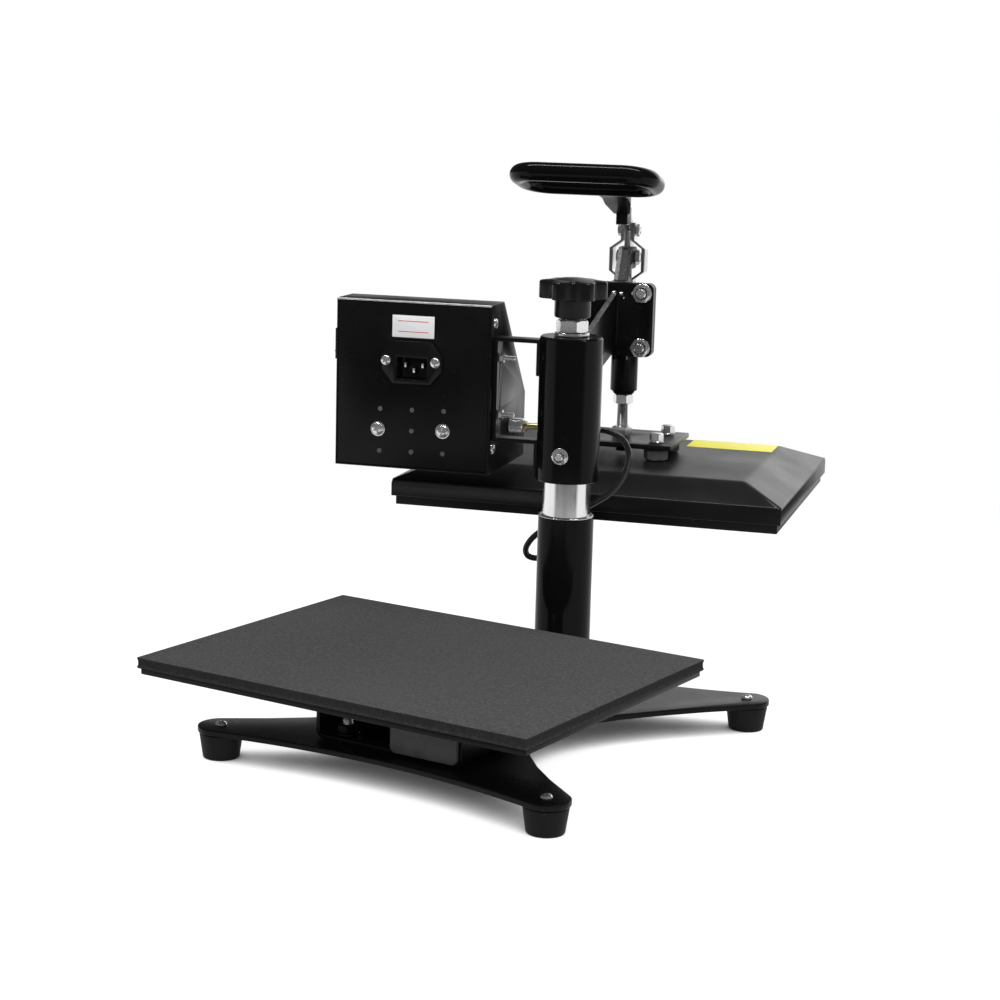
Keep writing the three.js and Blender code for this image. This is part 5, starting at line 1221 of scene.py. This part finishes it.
def make_bracket_bolt(node):
    """A bolt along the head's side axis, with a round head on the left and a nut on the bracket."""
    low, high = head_box(node)
    head = 0.0028
    seat = head_box("box_bracket")[0].x + BRACKET_SEAT - low.x
    round_head = [(0, 0), (0.0035, 0), (0.0035, head), (0, head)]
    parts = merge(
        lathe(filleted(round_head, 0.0006, 3, closed=False), 32),
        lifted(shank(M4, seat - head), head),
        lifted(hex_head(0.007, 0.0032, M4), seat),
        lifted(threaded(M4, high.x - low.x - seat, 0.0007), seat),
    )
    stand_in(node, parts, ZINC, head_place(node, X))


def make_connector():
    """A knurled barrel with a stepped brass tail that grips the cable."""
    low, high = head_box("cable_connector")
    barrel, tail, length = CONNECTOR_BARREL, CONNECTOR_TAIL, high.x - low.x
    profile = [(0, 0), (barrel - 0.0008, 0), (barrel, 0.0008)]
    z = 0.0016
    while z < 0.0105:
        profile += [(barrel, z), (barrel - 0.0004, z + 0.0004), (barrel, z + 0.0008)]
        z += 0.0012
    profile += [(barrel, 0.0112), (barrel - 0.0012, 0.012), (tail + 0.0012, 0.012), (tail + 0.0012, 0.0145),
                (tail, 0.0152), (tail, length - 0.0006), (tail - 0.0003, length), (0, length)]
    connector = stand_in("cable_connector", lathe(profile, 48), BRASS, head_place("cable_connector", X))
    barrel_end = low.x + 0.0118
    second_finish(connector, ZINC, lambda place, way: place.x < barrel_end)


def make_box():
    """The box and what stands on it and in it. Its upper edge at the back is bare, coloured near-white as a
    painted highlight.
    """
    shell = dress("box_shell", PAINT, 0.0006, 3)
    top = head_box("box_shell")[1].z
    # The back's top rim is coloured near-white: a painted highlight on the bare edge.
    second_finish(shell, BARE_EDGE_HIGHLIGHT, lambda place, way: way.y < -0.3 and place.z > top - 0.0018)
    make_back()
    make_label()
    make_inlet()
    dress("solid_state_relay", WHITE_PLASTIC, 0.0008, 3)
    dress("controller_board", BOARD, 0.0003)
    make_controls()
    dress("switch_frame", BLACK_PLASTIC, 0.0004)
    dress("power_rocker", RED_PLASTIC, 0.0006, 3)
    dress("box_bracket", PAINT, 0.0004)
    for node in nodes_named("bracket_bolt_"):
        make_bracket_bolt(node)
    make_connector()


make_box()

# Floor, world and lamps
FLOOR_SIZE = 30.0
FLOOR_DROP = 0.0002
FLOOR_GLOW = 0.97
FLOOR_NEAR = 0.6
FLOOR_FAR = 1.2
FLOOR_GREY = 0.22
LAMP_TARGET = Vector((0, 0.15, 0.2))
CAMERA_SIDE = Vector((math.sin(CAMERA_YAW), -math.cos(CAMERA_YAW), 0))
BRIGHT_TURN = math.radians(-30)
BRIGHT_LIFT = 0.27
BAND_TURN = math.radians(-24)
ROOM_LIGHT = 0.09
SOFTBOX_LIGHT = 1.9
BACKDROP_LIGHT = 1.0
CEILING_LIGHT = 0.25
SHADOW_REACH = 0.05
FLOOR_IN_REFLECTIONS = 0.7
FAR_FLOOR_IN_REFLECTIONS = 1.1
DARK_TURN = math.radians(-4)


def emission(tree, strength):
    return add_node(tree, "Emission", {"Strength": strength}).outputs[0]


def mixed(tree, share, first, second):
    return add_node(tree, "MixShader", {0: share, 1: first, 2: second}).outputs[0]


def make_floor():
    """A white floor that takes the press's shadow and turns plain white away from it."""
    bm = bmesh.new()
    bmesh.ops.create_grid(bm, x_segments=1, y_segments=1, size=FLOOR_SIZE / 2)
    floor = mesh_object("floor", bm)
    surface = bpy.data.materials.new("floor")
    surface.use_nodes = True
    tree = surface.node_tree
    tree.nodes.clear()
    rays = add_node(tree, "LightPath").outputs
    contact = add_node(tree, "AmbientOcclusion", {"Distance": SHADOW_REACH}).outputs["AO"]
    open_floor = ramp(tree, contact, 0.08, 0.62, 0.0, FLOOR_GLOW)
    mirrored = combined(tree, "MULTIPLY", rays["Is Glossy Ray"], 1 - FLOOR_IN_REFLECTIONS)
    direct = combined(tree, "SUBTRACT", 1.0, combined(tree, "ADD", rays["Is Diffuse Ray"], mirrored))
    glow = emission(tree, combined(tree, "MULTIPLY", open_floor, direct))
    lit = add_node(tree, "BsdfDiffuse", {"Color": (FLOOR_GREY, FLOOR_GREY, FLOOR_GREY)}).outputs[0]
    near = add_node(tree, "AddShader", {0: lit, 1: glow}).outputs[0]
    where = add_node(tree, "TexCoord").outputs["Object"]
    distance = add_node(tree, "VectorMath", {0: where}, operation="LENGTH").outputs["Value"]
    heading = add_node(tree, "VectorMath", {0: where}, operation="NORMALIZE").outputs["Vector"]
    dark = Matrix.Rotation(DARK_TURN, 3, "Z") @ CAMERA_SIDE
    front = ramp(tree, toward(tree, heading, dark), 0.45, 0.64)
    unseen = combined(tree, "SUBTRACT", 1.0, rays["Is Camera Ray"])
    gain = combined(tree, "MULTIPLY", rays["Is Glossy Ray"], FAR_FLOOR_IN_REFLECTIONS - 1)
    white = emission(tree, combined(tree, "ADD", gain, 1.0))
    far = mixed(tree, combined(tree, "MULTIPLY", front, unseen), white, emission(tree, ROOM_LIGHT))
    whole = mixed(tree, ramp(tree, distance, FLOOR_NEAR, FLOOR_FAR), near, far)
    add_node(tree, "OutputMaterial", {"Surface": whole})
    floor.data.materials.append(surface)
    floor.location = (PAD_CENTRE.x, PAD_CENTRE.y + 0.1, -FLOOR_DROP)


def make_world():
    """White to the camera; for the light and reflections, a bright backdrop in a dark room."""
    world = bpy.data.worlds.new("studio")
    SCENE.world = world
    world.use_nodes = True
    tree = world.node_tree
    tree.nodes.clear()
    way = add_node(tree, "TexCoord").outputs["Generated"]
    rays = add_node(tree, "LightPath").outputs
    bright = (Matrix.Rotation(BRIGHT_TURN, 3, "Z") @ -CAMERA_SIDE + Vector((0, 0, BRIGHT_LIFT))).normalized()
    softbox = ramp(tree, toward(tree, way, bright), 0.86, 0.975, ROOM_LIGHT, SOFTBOX_LIGHT)
    up = toward(tree, way, (0, 0, 1))
    band = Matrix.Rotation(BAND_TURN, 3, "Z") @ -CAMERA_SIDE
    ahead = ramp(tree, toward(tree, way, band), 0.7, 0.9)
    low = combined(tree, "MULTIPLY", ahead, ramp(tree, up, 0.16, 0.07))
    backdrop = combined(tree, "MULTIPLY", low, BACKDROP_LIGHT)
    above = ramp(tree, up, 0.25, 0.9, 0.0, CEILING_LIGHT)
    fill = combined(tree, "MULTIPLY", above, rays["Is Diffuse Ray"])
    strength = combined(tree, "MAXIMUM", rays["Is Camera Ray"], rays["Is Transmission Ray"])
    for part in (softbox, fill, backdrop):
        strength = combined(tree, "MAXIMUM", strength, part)
    background = add_node(tree, "Background", {"Color": (1, 1, 1), "Strength": strength}).outputs[0]
    add_node(tree, "OutputWorld", {"Surface": background})


def make_lamp(name, place, size, power, shown=False, lights=True):
    """A rectangular lamp that faces the press's middle, seen in reflections only if shown."""
    light = bpy.data.lights.new(name, "AREA")
    light.shape = "RECTANGLE"
    light.size, light.size_y = size
    light.energy = power
    obj = new_object(name, light)
    position = ORIGIN @ Vector(place)
    aim = ORIGIN @ LAMP_TARGET - position
    obj.matrix_world = at(*position) @ aim.to_track_quat("-Z", "Y").to_matrix().to_4x4()
    obj.visible_camera = False
    obj.visible_glossy = shown
    obj.visible_diffuse = lights
    return obj


def make_studio():
    """Three lamps that light the press, and a strip across the arm that shows only in reflections."""
    make_floor()
    make_world()
    make_lamp("top_lamp", (0.1, 0.1, 2.2), (1.1, 1.1), 30)
    make_lamp("key_lamp", (0.8, -1.7, 1.1), (0.8, 0.8), 30)
    make_lamp("side_lamp", (1.9, 0.6, 0.9), (0.6, 0.6), 8)
    strip = make_lamp("strip_lamp", (0, 0, 2.1), (2.4, 0.14), 46, shown=True, lights=False)
    strip.matrix_world = ORIGIN @ at(0, 0.15, 2.1) @ Matrix.Rotation(SWING, 4, "Z")


make_studio()
SCENE.view_settings.view_transform = "Standard"
